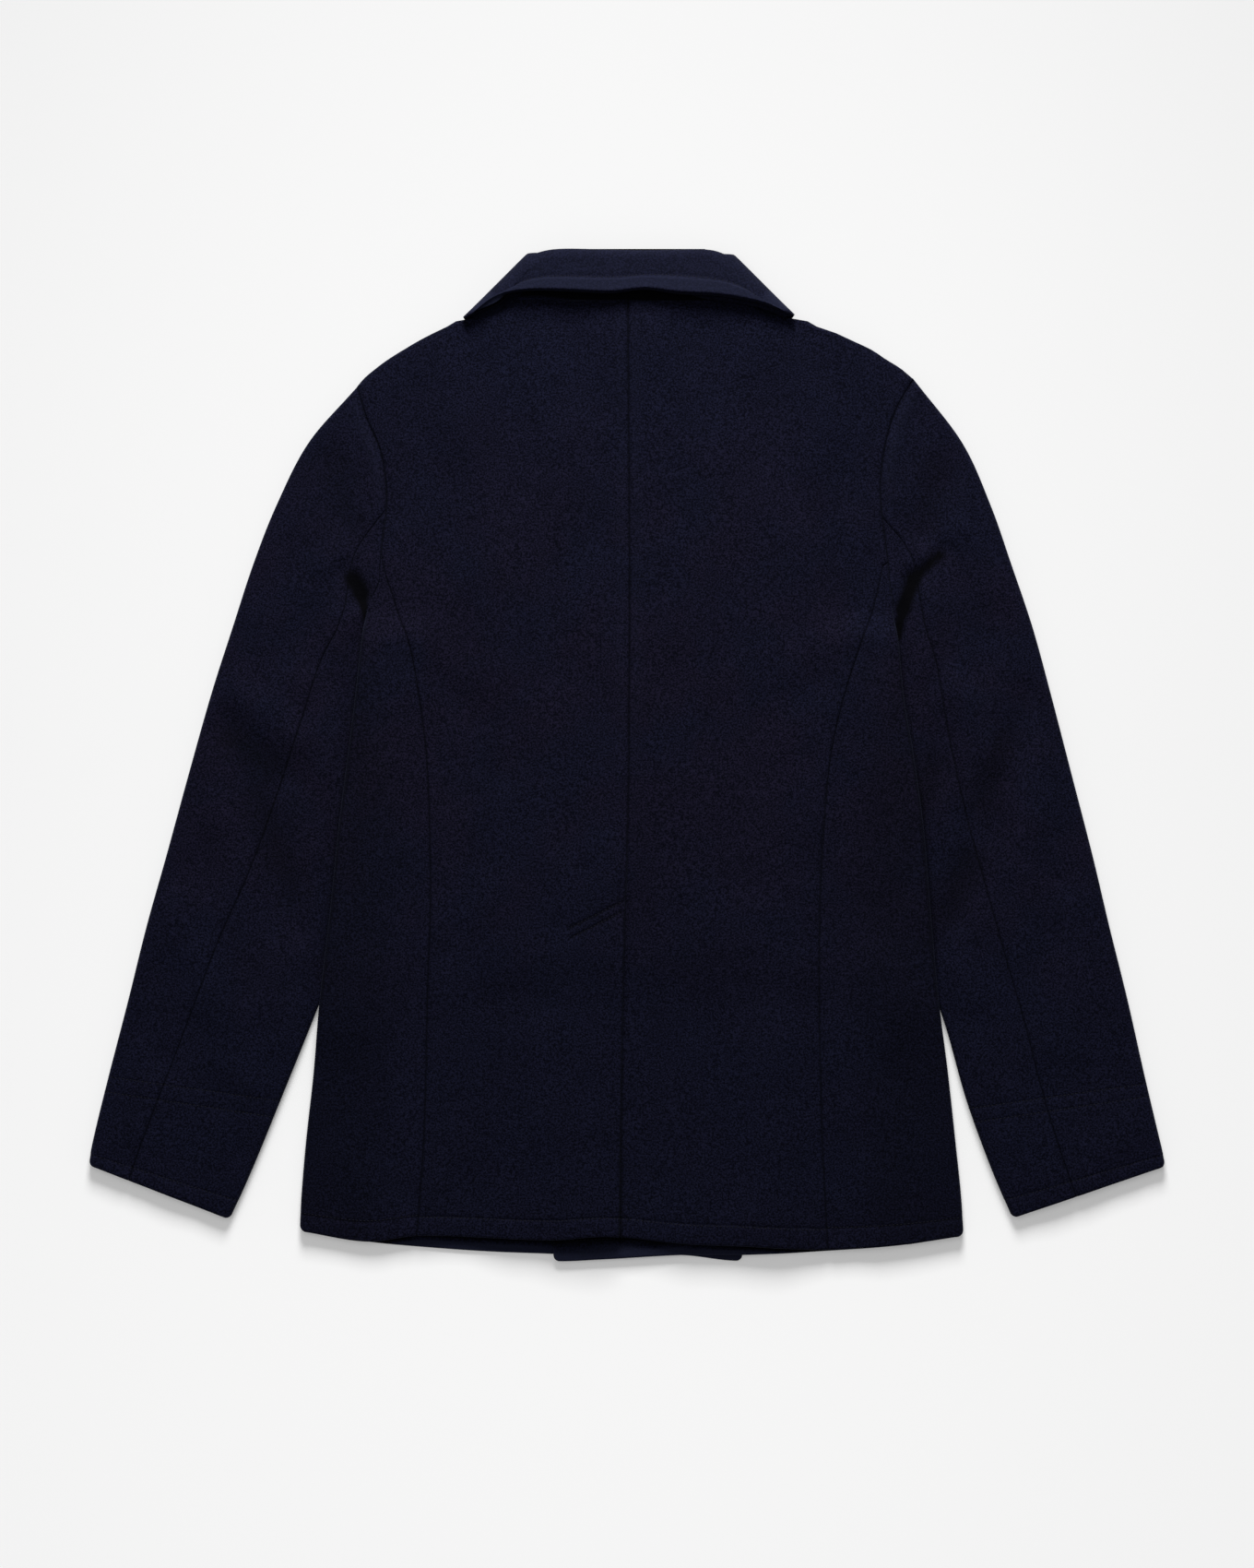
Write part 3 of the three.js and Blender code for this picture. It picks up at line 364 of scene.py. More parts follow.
# Where the layers' heights step up or down, by level where nothing else is said.
CHEST = Ramp(0.200, 0.090)  # the fronts are held up over a wider strip above this
HELD_FOOT = Ramp(-0.205, 0.050)  # foot of what holds the fronts up
HELD_HALF = 0.115  # half width of the strip of the fronts that is held up
HELD_CHEST = 0.040  # how much wider that half is at the chest
HELD_FADE = 0.045  # width over which the fronts come down beside it
SIDE_TOP = Ramp(0.118, -0.028)  # the side lies on the sleeve below this
SIDE_FOOT = Ramp(-0.270, 0.080)  # and above this
SIDE_IN = Ramp(0.027, 0.050)  # by the distance in from the fold
OUTER_STEP = Ramp(0.028, 0.042)  # by the distance past the outer forepart's edge
INNER_STEP = Ramp(-0.070, 0.042)  # by the distance past the inner forepart's edge
VENT_FOOT = Ramp(-0.050, -0.048)  # the vent's halves part below this
VENT_MARGIN = 0.028  # how far past the underlap the outer half is still raised
VENT_OVER = 0.020  # width over which it comes down there
VENT_FADE = 0.060  # width over which the inner half comes up again
LAP_RUN = 0.018  # height over which the underlap reaches its full width
SHOULDER_RUN = 0.011  # height over which a seam edge becomes the shoulder's fold
TUCK_EDGE = Ramp(0.016, -0.013)  # by the distance outside the body's fold
ARM_TOP = Ramp(0.272, 0.014)  # above this the armhole seam runs at a slant and laps further
BESIDE_ARM = Ramp(0.112, -0.012)  # below this the body's fold lies over the sleeve


class Track:
    """A smooth line through the rows of a table, read against one of its columns.

    Between two rows it is the straight line between them, plus a bow that gives each row the slope of the
    line between its neighbours.
    """

    def __init__(self, places: Array, values: Array) -> None:
        """Reads a line.

        Args:
            places: the column that is read against.
            values: the column that is read.
        """
        order = np.argsort(places)
        self.places = np.asarray(places, float)[order]
        self.values = np.asarray(values, float)[order]
        rows = np.arange(len(order))
        before = np.maximum(rows - 1, 0)
        after = np.minimum(rows + 1, len(order) - 1)
        self.slopes = (self.values[after] - self.values[before]) / (self.places[after] - self.places[before])

    def __call__(self, place: Array | float) -> Array:
        """The line's value at a place."""
        p, v = self.places, self.values
        at = np.clip(place, p[0], p[-1])
        i = np.clip(np.searchsorted(p, at) - 1, 0, len(p) - 2)
        span = p[i + 1] - p[i]
        t = (at - p[i]) / span
        rise = v[i + 1] - v[i]
        bend_in = self.slopes[i] * span - rise
        bend_out = rise - self.slopes[i + 1] * span
        return v[i] + rise * t + t * (1 - t) * (bend_in * (1 - t) + bend_out * t)


class Seamline:
    """A curve through points in plan, read by the share of its length."""

    SAMPLES = 400

    def __init__(self, points: tuple) -> None:
        """Reads a curve.

        Args:
            points: places across and up, from one end to the other.
        """
        p = np.asarray(points, float)
        chord = run_of(*p.T)
        at = np.linspace(0, chord[-1], self.SAMPLES)
        self.x = Track(chord, p[:, 0])(at)
        self.y = Track(chord, p[:, 1])(at)
        run = run_of(self.x, self.y)
        self.length = float(run[-1])
        self.share = run / run[-1]

    def __call__(self, share: Array | float) -> tuple[Array, Array]:
        """Place across and up at a share of the curve's length."""
        return np.interp(share, self.share, self.x), np.interp(share, self.share, self.y)

    def across(self, y: Array) -> Array:
        """Place across at a level."""
        return np.interp(y, self.y[::-1], self.x[::-1])


def run_of(x: Array, y: Array) -> Array:
    """Length of a line from its first point to each of its points."""
    return np.concatenate([[0.0], np.cumsum(np.hypot(np.diff(x), np.diff(y)))])


def creases(x: Array, y: Array, rows: tuple) -> Array:
    """Height of soft creases: each is a bell across its line, which fades past its ends.

    Args:
        x: places across.
        y: places up.
        rows: the creases' table.

    Returns:
        The sum of their heights.
    """
    total = np.zeros(np.broadcast(x, y).shape)
    for x0, y0, x1, y1, half, height in rows:
        dx, dy = x1 - x0, y1 - y0
        t = ((x - x0) * dx + (y - y0) * dy) / (dx * dx + dy * dy)
        held = np.clip(t, 0, 1)
        away = np.hypot(x - x0 - held * dx, y - y0 - held * dy) / half
        total = total + height * np.exp(-away * away)
    return total


def ripple(x: Array, y: Array, length: float, height: float, seed: int, waves: int = 14) -> Array:
    """Uneven lie of the cloth: a sum of plane waves of about one length in all directions.

    Args:
        x: places across.
        y: places up.
        length: of a wave.
        height: most of the heights stay below it.
        seed: of the draw of directions.
        waves: how many are added.

    Returns:
        Heights.
    """
    draw = np.random.default_rng(seed)
    total = np.zeros(np.broadcast(x, y).shape)
    for turn, phase, stretch in draw.uniform(0, 1, (waves, 3)):
        angle = 2 * math.pi * turn
        step = 2 * math.pi / (length * (0.7 + 0.8 * stretch))
        total = total + np.sin(step * (x * math.cos(angle) + y * math.sin(angle)) + 2 * math.pi * phase)
    return total * height / math.sqrt(waves)


def spaced(start: float, stop: float, step: float, marks: tuple = (), ends: tuple = ()) -> Array:
    """Even places with closer ones about each mark and each close end.

    Args:
        start: first place.
        stop: last place.
        step: between the even ones.
        marks: places that a stitched groove runs along.
        ends: which of start and stop is a free or sewn edge.

    Returns:
        The places in order.
    """
    groove = np.array([0.0005, 0.001, 0.0016, 0.0025])
    edge = np.array([0.0004, 0.0009, 0.0015, 0.0022, 0.0034, 0.005])
    even = np.linspace(start, stop, max(2, int(round((stop - start) / step)) + 1))
    close = []
    for mark in marks:
        close.append(np.concatenate([mark - groove[::-1], [mark], mark + groove]))
    for end in ends:
        close.append(end + edge if end == start else end - edge)
    room = 0.3 * step
    for line in close:
        clear = (even <= line.min() - room) | (even >= line.max() + room)
        even = even[clear | np.isin(even, [start, stop])]
    return np.unique(np.concatenate([even, *close]))


class Form:
    """How the coat lies: the plan of its edges and seams, and the heights of its layers."""

    def __init__(self) -> None:
        """Reads the tables into smooth lines."""
        def tracks(rows: tuple, *names: Side | str) -> dict:
            """A line for each name, from the columns after the first, which is what they are read against."""
            places, *values = np.array(rows).T
            return {name: Track(places, column) for name, column in zip(names, values)}

        lines = tracks(BODY, "left fold", "left seam", "centre", "right seam", "right fold")
        self.fold = {side: lines[f"{side.label} fold"] for side in Side}
        self.seam = {side: lines[f"{side.label} seam"] for side in Side}
        self.centre = lines["centre"]
        self.hem = tracks(HEM, "back", Side.LEFT, Side.RIGHT)
        self.neck = tracks(FRONT_NECK, Side.LEFT, Side.RIGHT)
        self.arm = {side: Seamline(ARMHOLE[side]) for side in Side}
        self.meet = {side: self.arm[side](MEET[side]) for side in Side}
        self.shoulder = {}
        for column, side in enumerate(Side, 1):
            top_x, top_y = ARMHOLE[side][0]
            rows = ((top_y, top_x), *((row[0], row[column]) for row in SHOULDER))
            self.shoulder.update(tracks(rows, side))

    def under_seam(self, side: Side, y: Array) -> Array:
        """Seam between a side body and a forepart, on the underside."""
        wrapped = self.fold[side](y) - side.value * SIDE_WRAP
        meet_x, meet_y = self.meet[side]
        return mix(wrapped, meet_x, smooth((y - JOIN_Y) / (meet_y - JOIN_Y)))

    def edge(self, side: Side, y: Array, seam: Array) -> Array:
        """Outer boundary of a back or forepart: its seam, then the armhole, then the shoulder.

        Args:
            side: the piece's.
            y: levels.
            seam: where its seam is at them.

        Returns:
            Places across.
        """
        meet_y = self.meet[side][1]
        top_y = ARMHOLE[side][0][1]
        arm = self.arm[side].across(y)
        return np.where(y < meet_y, seam, np.where(y < top_y, arm, self.shoulder[side](y)))

    def at_hem(self, x: Array, y: Array, line: str | Side) -> Array:
        """Level of a row once the hem's waves are added, which fade upwards."""
        return y + (self.hem[line](x) - HEM_Y) * (1 - smooth((y - HEM_Y) / HEM_FADE))

    def lie(self, x: Array, y: Array) -> Array:
        """How far buttons, lapels and collar points hold the foreparts up."""
        half = HELD_HALF + HELD_CHEST * CHEST(y)
        return LIE * (1 - smooth((np.abs(x - MIDDLE_X) - half) / HELD_FADE)) * HELD_FOOT(y)

    def side_rise(self, x: Array, y: Array) -> Array:
        """Rise of the body's side where it lies over the sleeve."""
        inward = np.where(x < 0, x - self.fold[Side.LEFT](y), self.fold[Side.RIGHT](y) - x)
        return SIDE_LIFT * SIDE_TOP(y) * SIDE_FOOT(y) * (1 - SIDE_IN(inward))

    def over_outer(self, x: Array, y: Array) -> Array:
        """Share of the outer forepart's thickness that the inner one is lifted by.

        Args:
            x: places across.
            y: places up.

        Returns:
            Shares, from 0 to 1.
        """
        away = x - FRONT_EDGE[Side.LEFT]
        across, up = ROLL[Side.LEFT]
        outside = np.maximum(away, away * up + (y - BREAK_Y) * across)
        return 1 - OUTER_STEP(outside)

    def over_inner(self, x: Array, y: Array) -> Array:
        """Share of the inner forepart's thickness that the back is lifted by.

        Args:
            x: places across.
            y: places up.

        Returns:
            Shares, from 0 to 1.
        """
        away = x - FRONT_EDGE[Side.RIGHT]
        across, up = ROLL[Side.RIGHT]
        inside = np.minimum(away, away * up - (y - BREAK_Y) * across)
        return self.over_outer(x, y) * INNER_STEP(inside)

    def bottom(self, x: Array, y: Array) -> Array:
        """Underside of the outer layer of the fronts and sides."""
        return self.lie(x, y) + self.side_rise(x, y)

    def top(self, x: Array, y: Array) -> Array:
        """Upper side of the back, before its creases."""
        return self.bottom(x, y) + CLOTH + (CLOTH + SEAM) * self.over_inner(x, y) + AIR + CLOTH

    def relief(self, x: Array, y: Array) -> Array:
        """Creases and uneven lie of the back and sides."""
        lift = 0.0030 * bell(x + 0.030, 0.045) + 0.0014 * bell(x - 0.120, 0.050)
        hem = lift * (1 - smooth((y - HEM_Y) / 0.070))
        broad = ripple(x, y, 0.150, 0.0007, 3) + ripple(x, y, 0.060, 0.00028, 8)
        return creases(x, y, BODY_CREASES) + broad + ripple(x, y, 0.022, 0.00008, 21) + hem


def sunk(away: Array) -> Array:
    """Height beside a sewn edge: it sinks into the seam, and the allowance under it lifts it a little."""
    away = np.maximum(away, 0)
    swell = ALLOWANCE * bell(away - ALLOWANCE_AT, ALLOWANCE_REACH)
    return swell - SEAM_SINK * np.exp(-((away / SEAM_REACH) ** 1.4))


def tucked(away: Array) -> Array:
    """How far a sewn edge's inner side is shifted, so that the two edges of a seam lap."""
    return SCARF * bell(away, SCARF_REACH)


def lined(away: Array, share: Array | float, width: float) -> Array:
    """Shade along a line."""
    return share * bell(away, width)


def grooved(away: Array, deep: float = STITCH_DEEP, reach: float = STITCH_REACH) -> Array:
    """Height across a row of stitches, which pull the cloth down."""
    return -deep * np.exp(-((np.abs(away) / reach) ** 1.6)) - 0.25 * deep * bell(away, 3.5 * reach)


def puffed(away: Array, width: float, height: float) -> Array:
    """Height of a turned hem between its free edge and its stitches: a low arch."""
    t = np.clip(away / width, 0, 1)
    return height * np.sin(np.pi * t) ** 0.8 * (away < width)


def pinched(away: Array) -> Array:
    """How far the two sides of a wall close in on each other at a free edge, so that it is round."""
    t = np.clip(1 - away / (0.55 * CLOTH), 0, 1)
    return 0.45 * CLOTH * (1 - np.sqrt(1 - t * t))


def rounded(away: Array, above: Array, radius: float) -> Array:
    """How far a round corner lifts its edge, at a distance in from the side and a height above the hem."""
    t = np.clip(1 - away / radius, 0, 1)
    return radius * (1 - np.sqrt(1 - t * t)) * smooth(1 - above / (4 * radius))


def turn_round(low: float, high: float, steps: int) -> Array:
    """Angles of a fold's profile, in radians, from degrees."""
    return np.radians(np.linspace(low, high, steps + 1))


@dataclass
class Wall:
    """A closed wall of cloth between an outer and an inner grid of points, each rows by columns by 3."""

    name: str
    outer: Array
    inner: Array
    # painted shade of each point, from 0 to 1; below 0 it is a painted highlight
    shade: Array
    shade_in: Array | None = None

    def normals(self) -> Array:
        """Unit normals of the outer grid, away from the inner one."""
        along = np.gradient(self.outer, axis=0)
        across = np.gradient(self.outer, axis=1)
        n = np.cross(across, along)
        n /= np.maximum(np.linalg.norm(n, axis=2, keepdims=True), 1e-12)
        facing = np.sign(np.sum(n * (self.outer - self.inner), axis=2, keepdims=True).mean())
        return n * facing

    def mesh(self) -> bpy.types.Object:
        """The wall as an object: both grids, and a strip of faces round each of the four rims.

        Returns:
            The linked object.
        """
        rows, columns = self.outer.shape[:2]
        points = np.concatenate([self.outer.reshape(-1, 3), self.inner.reshape(-1, 3)])
        at = np.arange(rows * columns).reshape(rows, columns)
        under = at + rows * columns

        def strip(a: Array, b: Array) -> Array:
            """Faces between two lines of points."""
            return np.stack([a[:-1], a[1:], b[1:], b[:-1]], axis=1)

        def field_of(g: Array) -> Array:
            """Faces of a grid."""
            return np.stack([g[:-1, :-1], g[:-1, 1:], g[1:, 1:], g[1:, :-1]], axis=2).reshape(-1, 4)

        faces = np.concatenate([
            field_of(at), field_of(under)[:, ::-1],
            strip(under[0], at[0]), strip(at[-1], under[-1]),
            strip(at[:, 0], under[:, 0]), strip(under[:, -1], at[:, -1]),
        ])
        p = points[faces]
        volume = np.einsum("ij,ij->i", p[:, 0], np.cross(p[:, 1], p[:, 2])).sum()
        volume += np.einsum("ij,ij->i", p[:, 0], np.cross(p[:, 2], p[:, 3])).sum()
        if volume < 0:
            faces = faces[:, ::-1]
        obj = mesh_object(f"{self.name}_cloth", points, faces)
        shade = obj.data.attributes.new("shade", "FLOAT", "POINT")
        inside = self.shade if self.shade_in is None else self.shade_in
        both = [np.clip(g, -1, 1) + 0 * self.outer[:, :, 0] for g in (self.shade, inside)]
        shade.data.foreach_set("value", np.stack(both).ravel().astype(np.float32))
        return obj


def mesh_object(name: str, points: Array, faces: Array) -> bpy.types.Object:
    """A smooth object of quads or triangles, at the origin.

    Args:
        name: of the piece.
        points: its vertices, n by 3.
        faces: its faces, n by 3 or 4.

    Returns:
        The linked object.
    """
    mesh = bpy.data.meshes.new(name)
    mesh.vertices.add(len(points))
    mesh.vertices.foreach_set("co", points.astype(np.float32).ravel())
    count, sides = faces.shape
    mesh.loops.add(count * sides)
    mesh.loops.foreach_set("vertex_index", faces.astype(np.int32).ravel())
    mesh.polygons.add(count)
    mesh.polygons.foreach_set("loop_start", np.arange(0, count * sides, sides, dtype=np.int32))
    mesh.update(calc_edges=True)
    mesh.validate()
    mesh.polygons.foreach_set("use_smooth", np.ones(len(mesh.polygons), bool))
    mesh.set_sharp_from_angle(angle=math.radians(60))
    obj = bpy.data.objects.new(name, mesh)
    bpy.context.scene.collection.objects.link(obj)
    return obj


@dataclass(frozen=True)
class Cut:
    """The flat cut of a piece of cloth: its width, its length and its area."""

    width: float
    length: float
    area: float


@dataclass
class Thread:
    """Rows of single stitches, each a short spindle that dips into the cloth at both ends."""

    pitch: float = 0.0030
    length: float = 0.0022
    radius: float = 0.00030
    stand: float = 0.00012
    dip: float = 0.0005
    blunt: float = 0.06
    around: int = 6
    rings: tuple = (-1.0, -0.72, 0.0, 0.72, 1.0)
    points: list = field(default_factory=list)
    faces: list = field(default_factory=list)
    count: int = 0

    def sew(self, line: Array, normal: Array) -> None:
        """Adds stitches along a line on the cloth.

        Args:
            line: points, n by 3.
            normal: the cloth's normals there, n by 3.
        """
        run = np.concatenate([[0.0], np.cumsum(np.linalg.norm(np.diff(line, axis=0), axis=1))])
        number = int(run[-1] / self.pitch)
        if number < 1:
            return
        middle = (np.arange(number) + 0.5) * run[-1] / number
        at = [np.stack([np.interp(m, run, line[:, k]) for k in range(3)], axis=-1) for m in
              (middle, middle - self.length / 2, middle + self.length / 2)]
        up = np.stack([np.interp(middle, run, normal[:, k]) for k in range(3)], axis=-1)
        up /= np.linalg.norm(up, axis=1, keepdims=True)
        forward = at[2] - at[1]
        forward /= np.maximum(np.linalg.norm(forward, axis=1, keepdims=True), 1e-9)
        beside = np.cross(up, forward)
        along = np.array(self.rings)[None, :, None, None]
        angle = 2 * math.pi * np.arange(self.around) / self.around
        thick = self.radius * np.sqrt(np.maximum(self.blunt, 1 - along**2))
        centre = at[0][:, None, None, :] + forward[:, None, None, :] * along * self.length / 2
        centre = centre + up[:, None, None, :] * (self.stand - self.dip * along**2)
        ring = (beside[:, None, None, :] * np.cos(angle)[None, None, :, None]
                + up[:, None, None, :] * np.sin(angle)[None, None, :, None])
        points = centre + thick * ring
        rings = len(self.rings)
        at_ring = np.arange(number * rings * self.around).reshape(number, rings, self.around) + self.count
        turned = np.roll(at_ring, -1, axis=2)
        quads = np.stack([at_ring[:, :-1], turned[:, :-1], turned[:, 1:], at_ring[:, 1:]], axis=3)
        self.faces.append(quads.reshape(-1, 4))
        for end, flip in ((0, True), (rings - 1, False)):
            loop = at_ring[:, end, :]
            caps = np.stack([loop[:, [0, 1, 2, 3]], loop[:, [0, 3, 4, 5]]], axis=1).reshape(-1, 4)
            self.faces.append(caps[:, ::-1] if flip else caps)
        self.points.append(points.reshape(-1, 3))
        self.count += points.size // 3

    def piece(self, name: str) -> bpy.types.Object:
        """All the rows that were sewn as one object."""
        return mesh_object(name, np.concatenate(self.points), np.concatenate(self.faces))


class Socket:
    """A value in a shader, so that sums and products are written as plain expressions."""

    def __init__(self, finish: "Nodes", link: bpy.types.NodeSocket) -> None:
        """Wraps an output.

        Args:
            finish: the tree it is in.
            link: the output that carries it.
        """
        self.finish = finish
        self.link = link

    def maths(self, operation: str, other: "Socket | float") -> "Socket":
        """One Math node on this value and another."""
        return self.finish.node("ShaderNodeMath", {"operation": operation}, {0: self, 1: other})

    def __add__(self, other: "Socket | float") -> "Socket":
        """This plus another."""
        return self.maths("ADD", other)

    __radd__ = __add__

    def __sub__(self, other: "Socket | float") -> "Socket":
        """This minus another."""
        return self.maths("SUBTRACT", other)

    def __mul__(self, other: "Socket | float") -> "Socket":
        """This times another."""
        return self.maths("MULTIPLY", other)

    __rmul__ = __mul__


class Nodes:
    """A material's nodes, each added by one call."""

    def __init__(self, name: str) -> None:
        """Adds a material with that name."""
        self.material = bpy.data.materials.new(name)
        self.material.use_nodes = True
        self.tree = self.material.node_tree
        self.shader = self.tree.nodes["Principled BSDF"]

    def node(self, kind: str, settings: dict, values: dict, output: int | str = 0) -> Socket:
        """Adds a node.

        Args:
            kind: the node's type.
            settings: its properties; "stops" are a ramp's places and colours.
            values: numbers or links of its sockets, by name or place.
            output: which output is wanted.

        Returns:
            That output.
        """
        made = self.tree.nodes.new(kind)
        for key, value in settings.items():
            if key == "stops":
                ramp = made.color_ramp
                while len(ramp.elements) < len(value):
                    ramp.elements.new(0.5)
                for element, (place, colour) in zip(ramp.elements, value):
                    element.position = place
                    element.color = (*colour, 1.0)
            else:
                setattr(made, key, value)
        for key, value in values.items():
            self.put(made.inputs[key], value)
        return Socket(self, made.outputs[output])

    def put(self, socket: bpy.types.NodeSocket, value: "Socket | float | tuple") -> None:
        """Links a value to a socket, or sets it there."""
        if isinstance(value, Socket):
            self.tree.links.new(value.link, socket)
        else:
            socket.default_value = value

    def noise(self, place: Socket, scale: float, detail: float, rough: float) -> Socket:
        """Noise of a scale, from 0 to 1."""
        values = {"Vector": place, "Scale": scale, "Detail": detail, "Roughness": rough}
        return self.node("ShaderNodeTexNoise", {}, values)

    def ranged(self, value: Socket, low: float, high: float, least: float = 0.0, most: float = 1.0) -> Socket:
        """A value's place between two others, as a number between least and most."""
        return self.node("ShaderNodeMapRange", {}, {"Value": value, 1: low, 2: high, 3: least, 4: most})

    def bump(self, height: Socket, strength: float, distance: float) -> Socket:
        """Normals of a height."""
        return self.node("ShaderNodeBump", {}, {"Strength": strength, "Distance": distance, "Height": height})

    def dress(self, **values: "Socket | float | tuple") -> bpy.types.Material:
        """Gives the shader its values, by the names of its sockets with underscores for spaces."""
        for name, value in values.items():
            self.put(self.shader.inputs[name.replace("_", " ")], value)
        return self.material

    def blend(self, share: Socket | float, low: "Socket | tuple", high: "Socket | tuple") -> Socket:
        """A colour between two."""
        return self.node("ShaderNodeMix", {"data_type": "RGBA"}, {0: share, 6: low, 7: high}, 2)


@dataclass(frozen=True)
class MeltonFinish:
    """Dense milled wool: a short felted nap over an even ground, with a painted highlight and painted shade
    from the shade attribute.
    """

    name: str = "melton"
    ground: tuple = (0.0005, 0.0006, 0.0030, 1.0)
    nap: tuple = (0.0062, 0.0072, 0.0200, 1.0)
    # painted shadow colour, blended in where the shade attribute is above nought
    deep: tuple = (0.0002, 0.0002, 0.0008, 1.0)
    warm: tuple = (0.0092, 0.0070, 0.0185, 1.0)
    # painted highlight colour, blended in where the shade attribute is below nought
    painted_highlight: tuple = (0.0125, 0.0145, 0.0310, 1.0)
    sheen: float = 0.05
    sheen_rough: float = 0.45
    sheen_tint: tuple = (0.30, 0.34, 0.62, 1.0)
    fibre: tuple = (740.0, 3.0, 0.75)
    tuft: tuple = (330.0, 3.0, 0.6)
    patch: tuple = (34.0, 3.0, 0.55)
    cloud: tuple = (14.0, 4.0, 0.6)
    relief: float = 0.0011

    def material(self) -> bpy.types.Material:
        """The finish as a material."""
        n = Nodes(self.name)
        place = n.node("ShaderNodeTexCoord", {}, {}, "Object")
        scales = (self.fibre, self.tuft, self.patch, self.cloud)
        fibre, tuft, patch, cloud = (n.noise(place, *scale) for scale in scales)
        shade = n.node("ShaderNodeAttribute", {"attribute_name": "shade"}, {}, "Fac")
        grain = n.ranged(fibre * 0.9 + tuft * 0.1, 0.44, 0.58)
        along = n.node("ShaderNodeSeparateXYZ", {}, {"Vector": place}, "Y") - 0.04
        tint = n.ranged(cloud, 0.40, 0.58, 0.15) * n.ranged(along * along, 0.0, 0.07, 0.75, 0.16)
        colour = n.blend(grain, self.ground, n.blend(tint, self.nap, self.warm))
        colour = n.blend(n.ranged(patch, 0.40, 0.62, 0.0, 0.14), colour, self.ground)
        # painted shade towards the painted shadow colour, and below nought a painted highlight
        colour = n.blend(shade, n.blend(shade * -1.0, colour, self.painted_highlight), self.deep)
        return n.dress(
            Base_Color=colour, Roughness=0.82 + 0.16 * tuft, Specular_IOR_Level=0.05, Sheen_Weight=self.sheen,
            Normal=n.bump(fibre * 0.55 + tuft * 0.9 + patch * 0.6, 0.55, self.relief),
            Sheen_Roughness=self.sheen_rough, Sheen_Tint=self.sheen_tint,
        )


@dataclass(frozen=True)
class ThreadFinish:
    """Spun thread in the cloth's own colour, a little darker and smoother."""

    name: str = "thread"
    light: tuple = (0.0050, 0.0053, 0.0120, 1.0)
    dark: tuple = (0.0016, 0.0017, 0.0042, 1.0)

    def material(self) -> bpy.types.Material:
        """The finish as a material."""
        n = Nodes(self.name)
        place = n.node("ShaderNodeTexCoord", {}, {}, "Object")
        ply = n.noise(place, 2600.0, 2.0, 0.5)
        return n.dress(
            Base_Color=n.blend(ply, self.dark, self.light), Roughness=0.62 + 0.2 * ply,
            Specular_IOR_Level=0.2, Normal=n.bump(ply, 0.4, 0.0002),
        )


@dataclass(frozen=True)
class ButtonFinish:
    """Dark moulded button with faint streaks and a soft polish."""

    name: str = "button"
    dark: tuple = (0.0050, 0.0050, 0.0062, 1.0)
    streak: tuple = (0.0210, 0.0190, 0.0200, 1.0)

    def material(self) -> bpy.types.Material:
        """The finish as a material."""
        n = Nodes(self.name)
        place = n.node("ShaderNodeTexCoord", {}, {}, "Object")
        drawn = n.node("ShaderNodeMapping", {}, {"Vector": place, "Scale": (60.0, 260.0, 60.0)})
        grain = n.noise(drawn, 1.0, 5.0, 0.6)
        return n.dress(
            Base_Color=n.blend(n.ranged(grain, 0.52, 0.75), self.dark, self.streak),
            Roughness=0.24 + 0.2 * grain, Normal=n.bump(grain, 0.12, 0.0004),
        )


@dataclass
class Wardrobe:
    """Dresses a finished mesh: its material, the body it rides on and the nodes it stands for."""

    melton: bpy.types.Material
    thread: bpy.types.Material
    button: bpy.types.Material

    def cloth(self, wall: Wall, cut: Cut, rests_on: tuple, with_pieces: tuple = ()) -> bpy.types.Object:
        """A sheet of cloth from a wall that stands for the node of the same name.

        Args:
            wall: the sheet's.
            cut: its flat cut; not used.
            rests_on: what it lies on; not used.
            with_pieces: pieces that are sewn to it; not used.

        Returns:
            The dressed object.
        """
        obj = wall.mesh()
        obj.data.materials.append(self.melton)
        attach(obj, "root")
        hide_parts(wall.name)
        report(obj, wall)
        return obj

    def sewn(self, thread: Thread, name: str) -> bpy.types.Object:
        """A piece of stitching.

        Args:
            thread: its stitches.
            name: of the piece.

        Returns:
            The dressed object.
        """
        obj = thread.piece(name)
        obj.data.materials.append(self.thread)
        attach(obj, "root")
        log.info("%s: %d faces", name, len(obj.data.polygons))
        return obj


def report(obj: bpy.types.Object, wall: Wall) -> None:
    """Logs a piece's faces, and the width, length and area of its middle surface.

    Args:
        obj: the piece.
        wall: that it was made from.
    """
    middle = (wall.outer + wall.inner) / 2
    across = np.linalg.norm(np.diff(middle, axis=1), axis=2)
    along = np.linalg.norm(np.diff(middle, axis=0), axis=2)
    corner = middle[:-1, :-1]
    cells = np.linalg.norm(np.cross(middle[1:, :-1] - corner, middle[:-1, 1:] - corner), axis=2)
    log.info("%s: %d faces, width %.3f, length %.3f, area %.4f", obj.name, len(obj.data.polygons),
             across.sum(axis=1).max(), along.sum(axis=0).max(), cells.sum())


def joined(*columns: Array) -> Array:
    """Grids side by side, each first spread to the same rows."""
    rows = max(c.shape[0] for c in columns)
    return np.concatenate([np.broadcast_to(c, (rows, c.shape[1])) for c in columns], axis=1)


def points_of(x: Array, y: Array, z: Array) -> Array:
    """One grid of points from grids of their three coordinates."""
    return np.stack(np.broadcast_arrays(x, y, z), axis=-1).astype(float)


